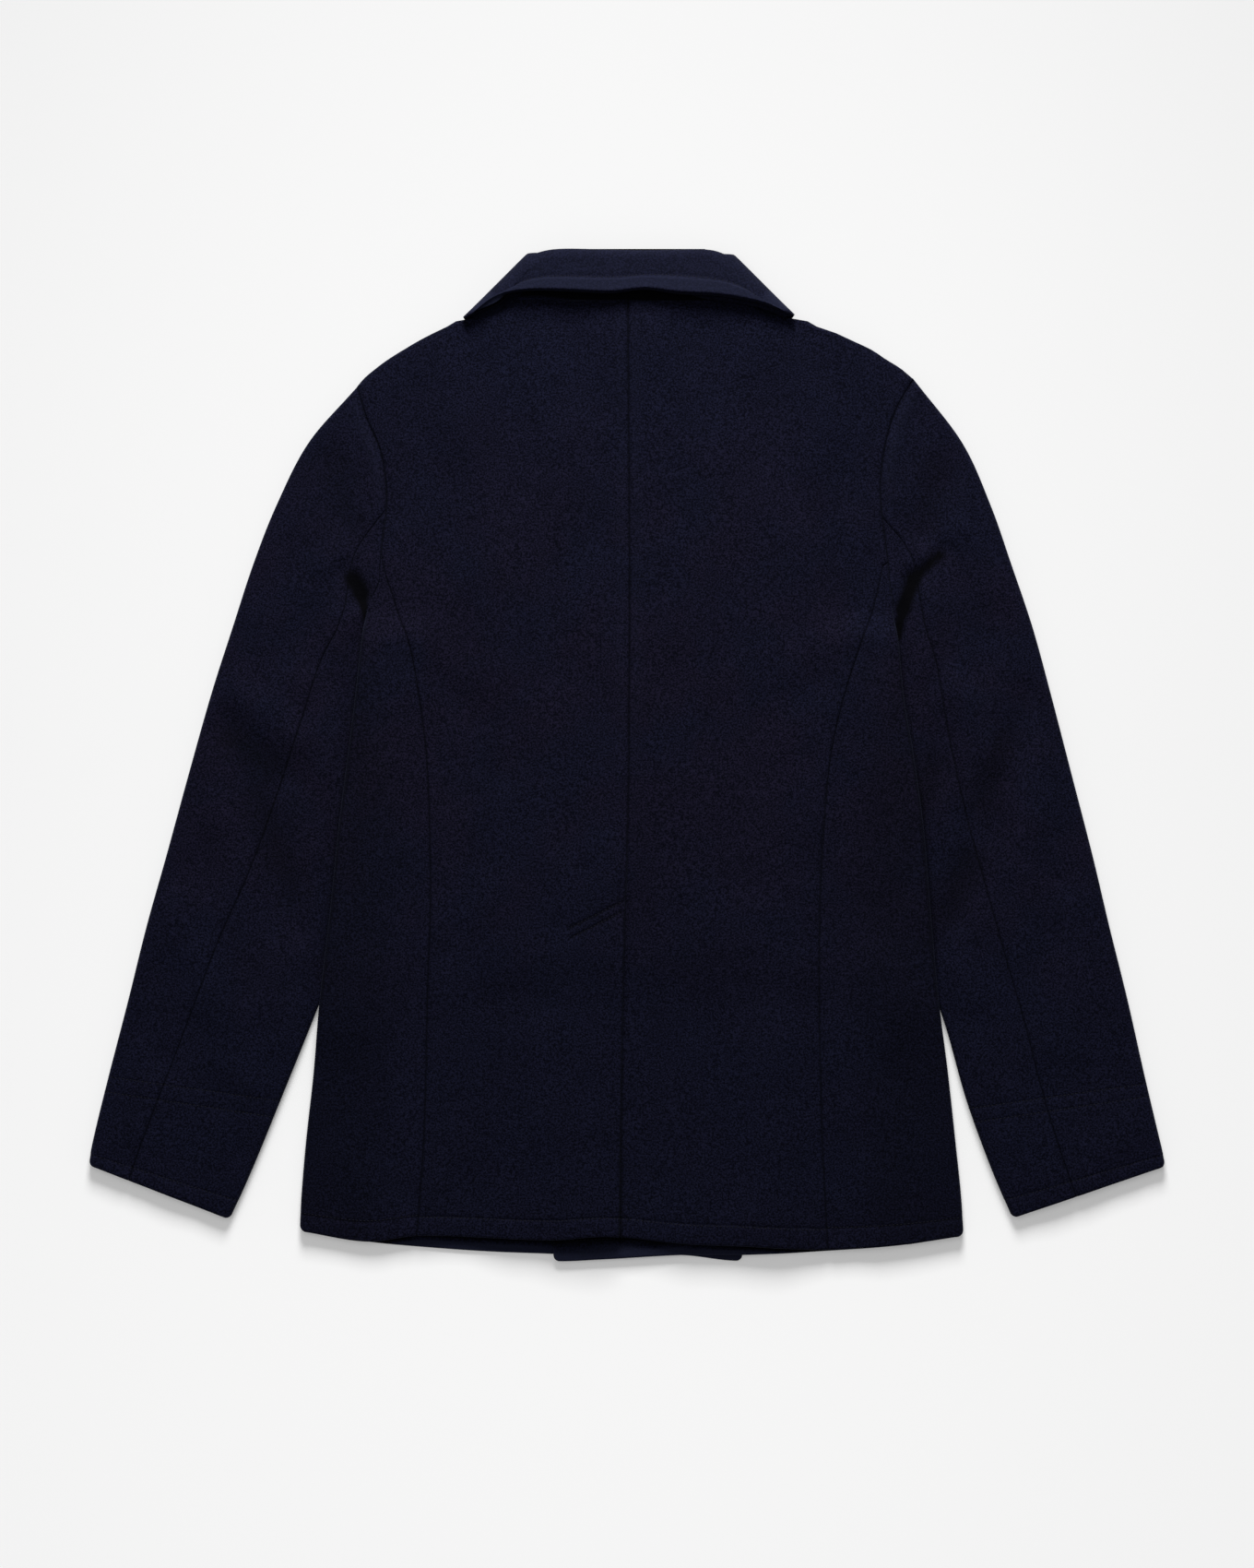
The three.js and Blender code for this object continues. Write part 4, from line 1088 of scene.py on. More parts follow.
@dataclass(frozen=True)
class Roll:
    """Round profile of a fold in cloth: arcs of its outer and its inner side, and the lowest level."""

    low: Array | float
    radius: Array
    angle: Array

    def out(self) -> Array:
        """How far the outer side is from the fold's line."""
        return self.radius * (1 - np.cos(self.angle))

    def out_in(self) -> Array:
        """How far the inner side is from the fold's line."""
        return self.radius - (self.radius - CLOTH) * np.cos(self.angle)

    def height(self) -> Array:
        """Height of the outer side."""
        return self.low + self.radius * (1 + np.sin(self.angle))

    def height_in(self) -> Array:
        """Height of the inner side."""
        return self.low + self.radius + (self.radius - CLOTH) * np.sin(self.angle)


@dataclass(frozen=True)
class Rim:
    """Outer edge of the back or a forepart: a seam's edge below the shoulder point, a fold above it."""

    s: int
    edge: Array
    shoulder: Array
    roll: Roll

    def columns(self, end: Array, share: Array) -> tuple[Array, Array]:
        """Places the columns from this edge to the other end of the rows.

        Args:
            end: where the rows end.
            share: of the columns between the closer ones at both ends.

        Returns:
            Places across, of the outer and of the inner side.
        """
        close = end + self.s * np.array(END_COLUMNS)
        seam = np.array(SEAM_COLUMNS)
        outer = self.edge - self.s * mix(seam, 2 * self.roll.out(), self.shoulder)
        inner = self.edge - self.s * mix(seam, 2 * self.roll.out_in(), self.shoulder)
        flat = mix(outer[:, -1:], close[:, :1], share)
        return joined(outer, flat, close), joined(inner, flat, close)

    def lead(self, z: Array, fold: Array) -> None:
        """Leads the heights of the first columns over into the fold's, above the shoulder point."""
        count = fold.shape[1]
        share = 0.35 + 0.65 * np.linspace(1, 0, count) ** 0.5
        z[:, :count] = mix(z[:, :count], mix(z[:, :count], fold, share), self.shoulder)


@dataclass
class Body:
    """The back, the side bodies and the foreparts."""

    form: Form
    wardrobe: Wardrobe
    thread: Thread = field(default_factory=Thread)
    step: float = 0.0032
    front_step: float = 0.005
    fine_step: float = 0.0011
    vent_band: tuple = (-0.150, -0.108)
    vent_rows: tuple = (
        ((-0.0037, -0.1162), (-0.0466, -0.1376)),
        ((-0.0044, -0.1243), (-0.0444, -0.1450)),
    )
    bend_from: float = 0.050
    seam_shade: float = 0.62
    stitch_shade: float = 0.30
    vent_shade: tuple = (0.85, 0.0014)
    side_shade: float = 0.24
    over_sleeve: float = 0.34
    slanted_depth: float = 0.0009
    slanted_reach: float = 0.0011
    slanted_shade: float = 700.0
    cuts: dict = field(default_factory=lambda: {
        "back_left": Cut(0.22, 0.76, 0.131), "back_right": Cut(0.24, 0.76, 0.146),
        "side_body_left": Cut(0.16, 0.52, 0.064), "side_body_right": Cut(0.18, 0.52, 0.068),
        "forepart_left": Cut(0.32, 0.76, 0.204), "forepart_right": Cut(0.32, 0.76, 0.187),
    })

    def levels(self, side: Side, top: float, step: float) -> Array:
        """Rows from the hem up, closer at the hem, its stitches and the shoulder point.

        Args:
            side: the piece's.
            top: the highest level.
            step: between the even rows.

        Returns:
            Levels, one a row.
        """
        marks = (HEM_Y + HEM_STITCH,)
        rows = spaced(HEM_Y, top, step, marks, (HEM_Y,))
        kinks = np.array([self.form.meet[side][1], ARMHOLE[side][0][1]])
        return np.unique(np.concatenate([rows, kinks]))[:, None]

    def vent_step(self, side: Side, x: Array, y: Array) -> Array:
        """Height that the vent adds to the half that laps on top, or takes from the one beneath.

        Args:
            side: the half's.
            x: places across.
            y: places up.

        Returns:
            Heights, below 0 for the one beneath.
        """
        away = x - self.form.centre(y)
        if side is Side.LEFT:
            return VENT_RAISE * VENT_FOOT(y) * smooth((away + VENT_LAP + VENT_MARGIN) / VENT_OVER)
        return -VENT_SINK * VENT_FOOT(y) * smooth(1 - np.maximum(0, away) / VENT_FADE)

    def slanted(self, x: Array, y: Array) -> Array:
        """Grooves of the vent's two slanted rows of stitches.

        Args:
            x: places across.
            y: places up.

        Returns:
            Heights, below 0.
        """
        total = np.zeros(np.broadcast(x, y).shape)
        for (x0, y0), (x1, y1) in self.vent_rows:
            dx, dy = x1 - x0, y1 - y0
            t = np.clip(((x - x0) * dx + (y - y0) * dy) / (dx * dx + dy * dy), 0, 1)
            away = np.hypot(x - x0 - t * dx, y - y0 - t * dy)
            total = total + grooved(away, self.slanted_depth, self.slanted_reach)
        return total

    def rim(self, side: Side, y: Array, seam: Array, start: float) -> Rim:
        """Outer edge of the back or a forepart, from its seam's line and the angle its fold starts at.

        Args:
            side: the piece's.
            y: levels of its rows.
            seam: places of its seam at them.
            start: the fold's first angle in degrees; its sign tells the upper piece from the lower.

        Returns:
            The edge.
        """
        shoulder = smooth((y - ARMHOLE[side][0][1] + SHOULDER_RUN) / SHOULDER_RUN)
        edge = self.form.edge(side, y, seam) - side.value * SEAM / 2 * (1 - 4 * shoulder)
        low = self.form.bottom(edge, y)
        angle = turn_round(start, math.copysign(90, start), 9)[None, :]
        return Rim(side.value, edge, shoulder, Roll(low, (self.form.top(edge, y) - low) / 2, angle))

    def back(self, side: Side) -> Wall:
        """Half of the back: rows go up from the hem, columns in from the outer edge to the centre.

        Below the shoulder point the first columns sink into the seam; above it they are the profile of the
        fold over the shoulder, an arc of half the coat's height.

        Args:
            side: the half's, of which the left one laps on top at the vent.

        Returns:
            The half's wall.
        """
        s, form, left = side.value, self.form, side is Side.LEFT
        y = self.levels(side, NECK_Y, self.step)
        if left:
            foot, head = self.vent_band
            rows = [y[(y < foot - 0.001) | (y > head)], np.arange(foot, head, self.fine_step)]
            y = np.unique(np.concatenate(rows))[:, None]
        rim = self.rim(side, y, form.seam[side](y), 2)
        lap = 0 * y if left else VENT_LAP * smooth((VENT_TOP - y) / LAP_RUN)
        end = form.centre(y) + s * SEAM / 2 - lap
        share = np.linspace(0, 1, 122 if left else 62)[None, 1:-1]
        x, x_in = rim.columns(end, 1 - (1 - share) ** 1.45 if left else share)
        at_y = form.at_hem(x, y, "back")
        from_edge, from_centre = np.abs(rim.edge - x), np.abs(x - end)
        above = y - HEM_Y + 0 * x
        sewn = 1 - smooth((VENT_TOP - y) / 0.010)
        z = form.top(x, at_y) + self.vent_step(side, x, at_y) + form.relief(x, at_y)
        z = z + mix(sunk(from_edge), 0, rim.shoulder) + sunk(from_centre) * sewn
        z = z + puffed(above, HEM_STITCH, HEM_PUFF) + grooved(above - HEM_STITCH)
        if left:
            z = z + self.slanted(x, at_y)
        pinch = pinched(above) + pinched(from_centre) * (1 - sewn)
        z_in, z = z - CLOTH + pinch, z - pinch
        rim.lead(z, rim.roll.height())
        rim.lead(z_in, rim.roll.height_in())
        x_in = x_in + s * tucked(from_edge) * (1 + ARM_TOP(y)) * (1 - 0.4 * rim.shoulder)
        x_in = x_in + tucked(from_centre) * sewn
        shade = lined(from_edge, self.seam_shade, STITCH_DARK) * (1 - rim.shoulder)
        shade = shade + lined(from_centre, self.seam_shade + 0.30 * (1 - sewn), STITCH_DARK)
        shade = shade + lined(above - HEM_STITCH, self.stitch_shade, STITCH_DARK)
        # painted shade on the back below the collar
        shade = shade + 0.12 * smooth((at_y - 0.350) / 0.014) * smooth((0.105 - np.abs(x)) / 0.03)
        if left:
            shade = shade - self.slanted_shade * np.minimum(self.slanted(x, at_y) + 0.0002, 0)
        else:
            shade = shade + lined(x - form.centre(at_y), *self.vent_shade) * (1 - sewn)
        # faint painted highlight beside the centre seam, fading out towards the hem
        shade = shade - lined(from_centre - 0.006, 0.04, 0.004) * smooth((y + 0.05) / 0.1)
        inner = points_of(x_in, at_y + tucked(NECK_Y - y), z_in)
        return Wall(f"back_{side.label}", points_of(x, at_y, z), inner, np.clip(shade, -1, 1))

    def forepart(self, side: Side) -> Wall:
        """A forepart, under the back: rows go up, columns in from the outer edge to the front edge.

        Args:
            side: the forepart's.

        Returns:
            Its wall, whose inner side is the upper one.
        """
        form = self.form
        y = self.levels(side, FRONT_TOP, self.front_step)
        rim = self.rim(side, y, form.under_seam(side, y), -2)
        end = np.where(y < BREAK_Y, FRONT_EDGE[side], form.neck[side](y))
        x, x_in = rim.columns(end, np.linspace(0, 1, 62)[None, 1:-1])
        from_end = np.abs(x - end)
        above = y - HEM_Y + 0 * x
        at_y = form.at_hem(x, y, side) + rounded(from_end, above, CORNER)
        lift = (CLOTH + SEAM) * form.over_outer(x, at_y) if side is Side.RIGHT else 0 * x
        z = form.bottom(x, at_y) + lift
        pinch = pinched(above) + pinched(from_end)
        z_in = z + CLOTH - pinch + 0.4 * puffed(above, HEM_STITCH, 0.0006) + grooved(above - HEM_STITCH)
        z = z + pinch
        rim.lead(z, rim.roll.height())
        rim.lead(z_in, rim.roll.height_in())
        shade = lined(above - HEM_STITCH, self.stitch_shade, STITCH_DARK)
        # painted shadow on the fronts' inner side just under the back's hem, and a painted highlight on the
        # rest of that side
        below = form.hem["back"](x) - at_y
        dark = 1 - smooth((below - 0.0012) / (0.0035 + 0.0070 * bell(x + 0.032, 0.036)))
        name, shade_in = f"forepart_{side.label}", shade + mix(-0.66, 1.0, dark)
        return Wall(name, points_of(x, at_y, z), points_of(x_in, at_y, z_in), shade, shade_in)

    def side_body(self, side: Side) -> Wall:
        """The side body: columns go from the side-back seam out to the fold, round it and in under the coat.

        A point is a share of the way from the seam's row to the fold's, and near the top the rows bend until
        the last of them is the armhole from the junction to the underarm.

        Args:
            side: the piece's.

        Returns:
            The piece's wall.
        """
        s, form, arm = side.value, self.form, self.form.arm[side]
        meet_x, meet_y = (float(v) for v in form.meet[side])
        under_x, under_y = (float(v) for v in arm(1.0))
        y = spaced(HEM_Y, meet_y, self.step, (HEM_Y + HEM_STITCH,), (HEM_Y, meet_y))[:, None]
        fold_y = HEM_Y + (y - HEM_Y) / (meet_y - HEM_Y) * (under_y - HEM_Y)
        fold_x = mix(form.fold[side](fold_y), under_x, smooth((y - meet_y + 0.02) / 0.02))
        bend = np.clip((y - self.bend_from) / (meet_y - self.bend_from), 0, 1) ** 2.2
        last = smooth((y - meet_y + 0.004) / 0.004)
        upper = mix(form.seam[side](y), meet_x, last)
        lower = mix(form.under_seam(side, y), meet_x, last)

        def place(c: Array, seam_at: Array) -> tuple[Array, Array]:
            """Plan of a point a share c of the way out from the seam."""
            arm_x, arm_y = arm(mix(MEET[side], 1.0, c))
            x = mix(seam_at, fold_x, c) + bend * (arm_x - mix(meet_x, under_x, c)) - s * ARM_INSET * bend
            return x, mix(y, fold_y, c) + bend * (arm_y - mix(meet_y, under_y, c))

        width, width_low = (np.hypot(line - fold_x, y - fold_y) for line in (upper, lower))
        low = form.bottom(fold_x, fold_y)
        roll = Roll(low, (form.top(fold_x, fold_y) - low) / 2, turn_round(90, -90, FOLD_STEPS)[None, :])
        near = np.minimum(np.array(NEAR_COLUMNS) / width, np.linspace(0, 0.30, 8) + 0.004)
        far = np.maximum(1 - roll.radius / width, near[:, -1:] + 0.02)
        top_c = joined(near, mix(near[:, -1:], far, np.linspace(0, 1, 40)[None, 1:-1]))
        start = np.minimum(0.99, 1 - roll.radius / width_low)
        low_c = mix(start, SEAM / 2 / width_low, np.linspace(0, 1, 14)[None, 1:])
        wide = np.where(roll.angle >= 0, width, width_low)
        c, c_in = (joined(top_c, 1 - out / wide, low_c) for out in (roll.out(), roll.out_in()))
        count, turned = top_c.shape[1], roll.angle.shape[1]
        below = np.concatenate([np.zeros(count), roll.angle[0] < 0, np.ones(low_c.shape[1])])[None, :]
        seam_at = mix(upper, lower, below)
        x, at = place(c, seam_at)
        x_in, at_in = place(c_in, seam_at)
        x_in = x_in + s * tucked(c * width) * (1 - below) + s * tucked(meet_y - y)
        corner = rounded(np.abs(x - fold_x), y - HEM_Y, CORNER)
        hem_y, hem_in = (
            mix(form.at_hem(across, up, "back"), form.at_hem(across, up, side), below) + corner
            for across, up in ((x, at), (x_in, at_in))
        )
        above = y - HEM_Y + 0 * x
        from_seam = (c * width)[:, :count]
        from_top = (meet_y - y) + 0 * x
        dressing = puffed(above, HEM_STITCH, HEM_PUFF) + grooved(above - HEM_STITCH)
        dressing = dressing + np.minimum(sunk(from_top), 0.0002)
        topside = form.top(x, hem_y) + form.relief(x, hem_y) * smooth((1 - c) * width / 0.030) + dressing
        topside = topside[:, :count] + sunk(from_seam)
        pinch = pinched(above)[:, :count]
        under = form.bottom(x, hem_y)[:, count + turned:]
        z = joined(topside - pinch, roll.height() + 0 * width, under)
        z_in = joined(topside - CLOTH + pinch, roll.height_in() + 0 * width, under + CLOTH)
        fold = slice(count, count + turned)
        z[:, fold] += dressing[:, fold] * np.cos(roll.angle / 2) * (np.sin(roll.angle) > 0)
        shade = lined(above - HEM_STITCH, self.stitch_shade, STITCH_DARK) + lined(from_top, 0.55, 0.0006)
        shade[:, :count] += lined(from_seam, self.seam_shade, STITCH_DARK)
        # painted shade towards the fold, and along the fold where the side lies over the sleeve
        shade = shade + self.side_shade * smooth((c * width - 0.012) / 0.045) * (1 - below)
        over_sleeve = smooth((at + 0.215) / 0.030) * BESIDE_ARM(at)
        shade = shade + self.over_sleeve * over_sleeve * smooth((c * width - width + 0.0045) / 0.0030)
        inner = points_of(x_in, hem_in, z_in)
        return Wall(f"side_body_{side.label}", points_of(x, hem_y, z), inner, np.clip(shade, 0, 1))

    def sew_row(self, wall: Wall, place: float, columns: slice = slice(None), inner: bool = False) -> None:
        """Sews along the row of a wall that is nearest to a level above the hem.

        Args:
            wall: the cloth.
            place: the height of the row above the hem.
            columns: that are sewn.
            inner: whether the row shows on the wall's inner side.
        """
        grid = wall.inner if inner else wall.outer
        rows = grid[:, grid.shape[1] // 2, 1]
        row = int(np.argmin(np.abs(rows - rows[0] - place)))
        self.thread.sew(grid[row, columns], wall.normals()[row, columns] * (-1 if inner else 1))

    def sew_vent(self) -> None:
        """Sews the vent's two slanted rows."""
        for (x0, y0), (x1, y1) in self.vent_rows:
            t = np.linspace(0.02, 0.98, 60)
            x, y = mix(x0, x1, t), mix(y0, y1, t)
            z = self.form.top(x, y) + self.vent_step(Side.LEFT, x, y) + self.form.relief(x, y)
            z = z + self.slanted(x, y)
            up = np.tile([0.0, 0.0, 1.0], (len(t), 1))
            self.thread.sew(np.stack([x, y, z], axis=1), up)

    def build(self) -> None:
        """Makes the six pieces and their stitching."""
        for side in Side:
            front = self.forepart(side)
            self.wardrobe.cloth(front, self.cuts[front.name], ("floor", f"lapel_{side.label}"))
            self.sew_row(front, HEM_STITCH, inner=True)
            flank = self.side_body(side)
            self.wardrobe.cloth(flank, self.cuts[flank.name], (f"under_sleeve_{side.label}", "floor"))
            self.sew_row(flank, HEM_STITCH, slice(0, 50))
            back = self.back(side)
            self.wardrobe.cloth(back, self.cuts[back.name], ("forepart_left", "forepart_right"))
            self.sew_row(back, HEM_STITCH)
        self.sew_vent()
        self.wardrobe.sewn(self.thread, "body_stitching")


@dataclass
class Sleeve:
    """A sleeve of two pieces, lying flat, sewn at the elbow and at the front seam underneath."""

    form: Form
    wardrobe: Wardrobe
    side: Side
    step: float = 0.0032
    roping: tuple = (0.0085, 0.0055, 0.0019)
    # painted highlight along the roping at the sleeve head: its width and strength
    roping_highlight: tuple = (0.0060, 0.10)
    seam_shade: tuple = (0.65, 0.60)
    stitch_shade: float = 0.22
    hollow_shade: float = 1.35
    body_shade: tuple = (0.42, 0.0035)
    thread: Thread = field(default_factory=Thread)
    cuts: dict = field(default_factory=lambda: {
        "top_sleeve_left": Cut(0.33, 0.66, 0.115), "top_sleeve_right": Cut(0.33, 0.66, 0.128),
        "under_sleeve_left": Cut(0.21, 0.62, 0.051), "under_sleeve_right": Cut(0.21, 0.62, 0.040),
    })

    def __post_init__(self) -> None:
        """Reads the sleeve's table into smooth lines along it."""
        table = np.array(SLEEVE[self.side])
        self.last = len(table) - 1
        rows = np.arange(len(table))
        self.outer_x, self.outer_y, self.inner_x, self.inner_y, self.elbow = (Track(rows, c) for c in table.T)
        self.head = table[0]

    def stations(self) -> Array:
        """Rows from the armhole to the cuff, closer at both ends and at the cuff's rows of stitches.

        Returns:
            Stations, in rows of the sleeve's table.
        """
        fine = np.linspace(0, self.last, 1200)
        x, y = (self.outer_x(fine) + self.inner_x(fine)) / 2, (self.outer_y(fine) + self.inner_y(fine)) / 2
        run = run_of(x, y)
        total = run[-1]
        marks = tuple(total - m for m in (CUFF_HEM, *CUFF_ROWS[self.side]))
        along = spaced(0.0, total, self.step, marks, (0.0, total))
        self.from_cuff = (total - along)[:, None]
        return np.interp(along, run, fine)[:, None]

    def plan(self, f: Array, r: Array) -> tuple[Array, Array]:
        """Plan of a point a share f of the way from the outer fold to the inner one, at station r.

        Args:
            f: shares.
            r: stations.

        Returns:
            Places across and up.
        """
        bend = np.maximum(0, 1 - r / 3) ** 2
        arm_x, arm_y = self.form.arm[self.side](f)
        x = mix(self.outer_x(r), self.inner_x(r), f) + bend * (arm_x - mix(self.head[0], self.head[2], f))
        y = mix(self.outer_y(r), self.inner_y(r), f) + bend * (arm_y - mix(self.head[1], self.head[3], f))
        return x + self.side.value * ARM_INSET * np.maximum(0, 1 - 2 * r), y

    def upwards(self) -> tuple[float, float]:
        """Direction from the cuff's middle up the sleeve."""
        places = np.array([self.last, self.last - 1.0])
        pairs = ((self.outer_x, self.inner_x), (self.outer_y, self.inner_y))
        step = [np.diff(a(places) + b(places)).item() for a, b in pairs]
        return step[0] / math.hypot(*step), step[1] / math.hypot(*step)

    def outside(self, x: Array, y: Array) -> Array:
        """How far a point is outside the fold of the body."""
        return self.side.value * (x - self.form.fold[self.side](y))

    def width(self, r: Array) -> Array:
        """Length of the row at a station."""
        straight = np.hypot(self.outer_x(r) - self.inner_x(r), self.outer_y(r) - self.inner_y(r))
        return mix(self.form.arm[self.side].length, straight, smooth(r / 2))

    def base(self, x: Array, y: Array) -> Array:
        """Top of the sleeve before its creases: flat, and lower where the body's side lies on it."""
        rise = self.form.side_rise(self.form.fold[self.side](y), y) / SIDE_LIFT
        return SLEEVE_H - (SLEEVE_H - TUCKED_H) * rise * TUCK_EDGE(self.outside(x, y))

    def relief(self, x: Array, y: Array) -> Array:
        """Creases of the upper side, which fade where the body lies on it."""
        free = 1 - smooth((0.012 - self.outside(x, y)) / 0.014) * smooth((0.118 - y) / 0.010)
        lie = ripple(x, y, 0.110, 0.0006, 5 + self.side.value) + ripple(x, y, 0.045, 0.0003, 14)
        return (creases(x, y, SLEEVE_CREASES[self.side]) + lie + ripple(x, y, 0.020, 0.00008, 31)) * free

    def dressing(self, cuff: Array) -> Array:
        """Height that the cuff's hem and rows of stitches add, by the distance from the cuff's edge.

        Args:
            cuff: distances from that edge.

        Returns:
            Heights.
        """
        low, high = CUFF_ROWS[self.side]
        total = puffed(cuff, CUFF_HEM, HEM_PUFF) + grooved(cuff - CUFF_HEM)
        for mark in (low, high):
            total = total + grooved(cuff - mark, 0.0004)
        return total + 0.0002 * bell(cuff - (low + high) / 2, 0.0035)

    def shaped(self, name: str, f: Array, f_in: Array, r: Array, part: Array, roll: Roll) -> Wall:
        """Builds one piece.

        Args:
            name: of the piece.
            f: shares across, rows by columns.
            f_in: the same for the inner side.
            r: stations.
            part: 0 for columns of the upper side, 1 for those of a fold and 2 for those of the underside.
            roll: the fold's profile, at an angle of nought in the columns of the other two parts.

        Returns:
            The wall.
        """
        s, width = self.side.value, self.width(r)
        upper, turned = part == 0, part == 1
        run_x, run_y = self.upwards()
        from_fold = np.minimum(f, 1 - f) * width
        corner = rounded(from_fold, self.from_cuff, CORNER)
        (x, y), (x_in, y_in) = self.plan(f, r), self.plan(f_in, r)
        x, x_in = x + run_x * corner, x_in + run_x * corner
        y, y_in = y + run_y * corner, y_in + run_y * corner
        from_head = np.zeros_like(x)
        from_head[1:] = np.cumsum(np.hypot(np.diff(x, axis=0), np.diff(y, axis=0)), axis=0)
        from_seam = np.abs(f - self.elbow(r)) * width
        cuff = self.from_cuff + 0 * x
        rope_at, rope_width, rope_height = self.roping
        roped = smooth((0.60 - f) / 0.2)
        sewn = sunk(from_head) + rope_height * bell(from_head - rope_at, rope_width) * roped
        sewn = sewn + self.dressing(cuff)
        z_top = self.base(x, y) + self.relief(x, y) * smooth(from_fold / 0.020) + sunk(from_seam) + sewn
        spare = z_top - 2 * CLOTH - LEAST_AIR
        z_top = z_top - spare + (spare + np.sqrt(spare * spare + LEAST_AIR**2)) / 2
        tuned = sewn * np.sin(np.maximum(roll.angle, 0))
        z = np.where(upper, z_top, np.where(turned, roll.height() + tuned, 0.0))
        z_in = np.where(upper, z_top - CLOTH, np.where(turned, roll.height_in() + tuned, CLOTH))
        pinch = pinched(cuff) * np.where(upper | (turned & (roll.angle > 0)), 1, -1)
        x_in = x_in + s * tucked(from_head) * (1 + ARM_TOP(y))
        x_in = x_in - s * tucked(from_seam) * upper * smooth(from_head / 0.004)
        at_head, at_elbow = self.seam_shade
        shade = lined(from_head, at_head, STITCH_DARK) + lined(from_seam, at_elbow, STITCH_DARK) * upper
        # painted shade in the hollows, and painted shadow along the body's edge where it lies on the sleeve
        shade = shade + self.hollow_shade * creases(x, y, HOLLOWS[self.side]) * upper
        beside = smooth((0.112 - y) / 0.01) * smooth((y + 0.200) / 0.05) * upper
        shade = shade + lined(self.outside(x, y), *self.body_shade) * beside
        for mark in (CUFF_HEM, *CUFF_ROWS[self.side]):
            shade = shade + lined(cuff - mark, self.stitch_shade, STITCH_DARK)
        # painted highlight along the roping at the sleeve head
        highlight_width, painted_highlight = self.roping_highlight
        shade = shade - lined(from_head - rope_at, painted_highlight, highlight_width) * roped * upper
        inner = points_of(x_in, y_in, z_in + pinch)
        return Wall(name, points_of(x, y, z - pinch), inner, np.clip(shade, -1, 1))

    def half(self, name: str, r: Array, height: Array, fold_at: int, columns: int) -> Wall:
        """Half of the tube, from the elbow seam round a fold and in to the front seam on the underside.

        Args:
            name: of the piece.
            r: stations.
            height: of the sleeve at its fold, for each row.
            fold_at: 0 for the outer fold and 1 for the inner one.
            columns: places of columns on the underside.

        Returns:
            The half's wall.
        """
        width, way = self.width(r), 1 - 2 * fold_at
        roll = Roll(0.0, height / 2, turn_round(90, -90, FOLD_STEPS)[None, :])
        near = self.elbow(r) - way * (np.array(NEAR_COLUMNS) / width)
        turn = fold_at + way * (roll.radius / width)
        flat = mix(near[:, -1:], turn, np.linspace(0, 1, 46)[None, 1:-1])
        under = mix(turn, FRONT_SEAM - way * (SEAM / 2 / width), np.linspace(0, 1, columns)[None, 1:])
        outs = (roll.out(), roll.out_in())
        f, f_in = (joined(near, flat, fold_at + way * (out / width), under) for out in outs)
        counts = (near.shape[1] + flat.shape[1], roll.angle.shape[1], under.shape[1])
        angle = np.concatenate([np.zeros(counts[0]), roll.angle[0], np.zeros(counts[2])])[None, :]
        part = np.repeat([0, 1, 2], counts)[None, :]
        return self.shaped(name, f, f_in, r, part, Roll(0.0, roll.radius, angle))

    def top_sleeve(self, r: Array) -> Wall:
        """From the elbow seam out over the outer fold, round it and in to the front seam on the underside."""
        return self.half(f"top_sleeve_{self.side.label}", r, SLEEVE_H + 0 * r, 0, 26)

    def under_sleeve(self, r: Array) -> Wall:
        """From the elbow seam in to the inner fold, round it and out to the front seam on the underside."""
        height = self.base(*self.plan(np.ones_like(r), r))
        return self.half(f"under_sleeve_{self.side.label}", r, height, 1, 8)

    def build(self) -> None:
        """Makes both pieces and the cuff's stitching."""
        r = self.stations()
        for wall in (self.top_sleeve(r), self.under_sleeve(r)):
            self.wardrobe.cloth(wall, self.cuts[wall.name], ("floor",))
            normals = wall.normals()
            for mark in (CUFF_HEM, *CUFF_ROWS[self.side]):
                row = int(np.argmin(np.abs(self.from_cuff[:, 0] - mark)))
                shown = wall.outer[row, :, 2] > 0.002
                self.thread.sew(wall.outer[row, shown], normals[row, shown])
        self.wardrobe.sewn(self.thread, f"cuff_stitching_{self.side.label}")


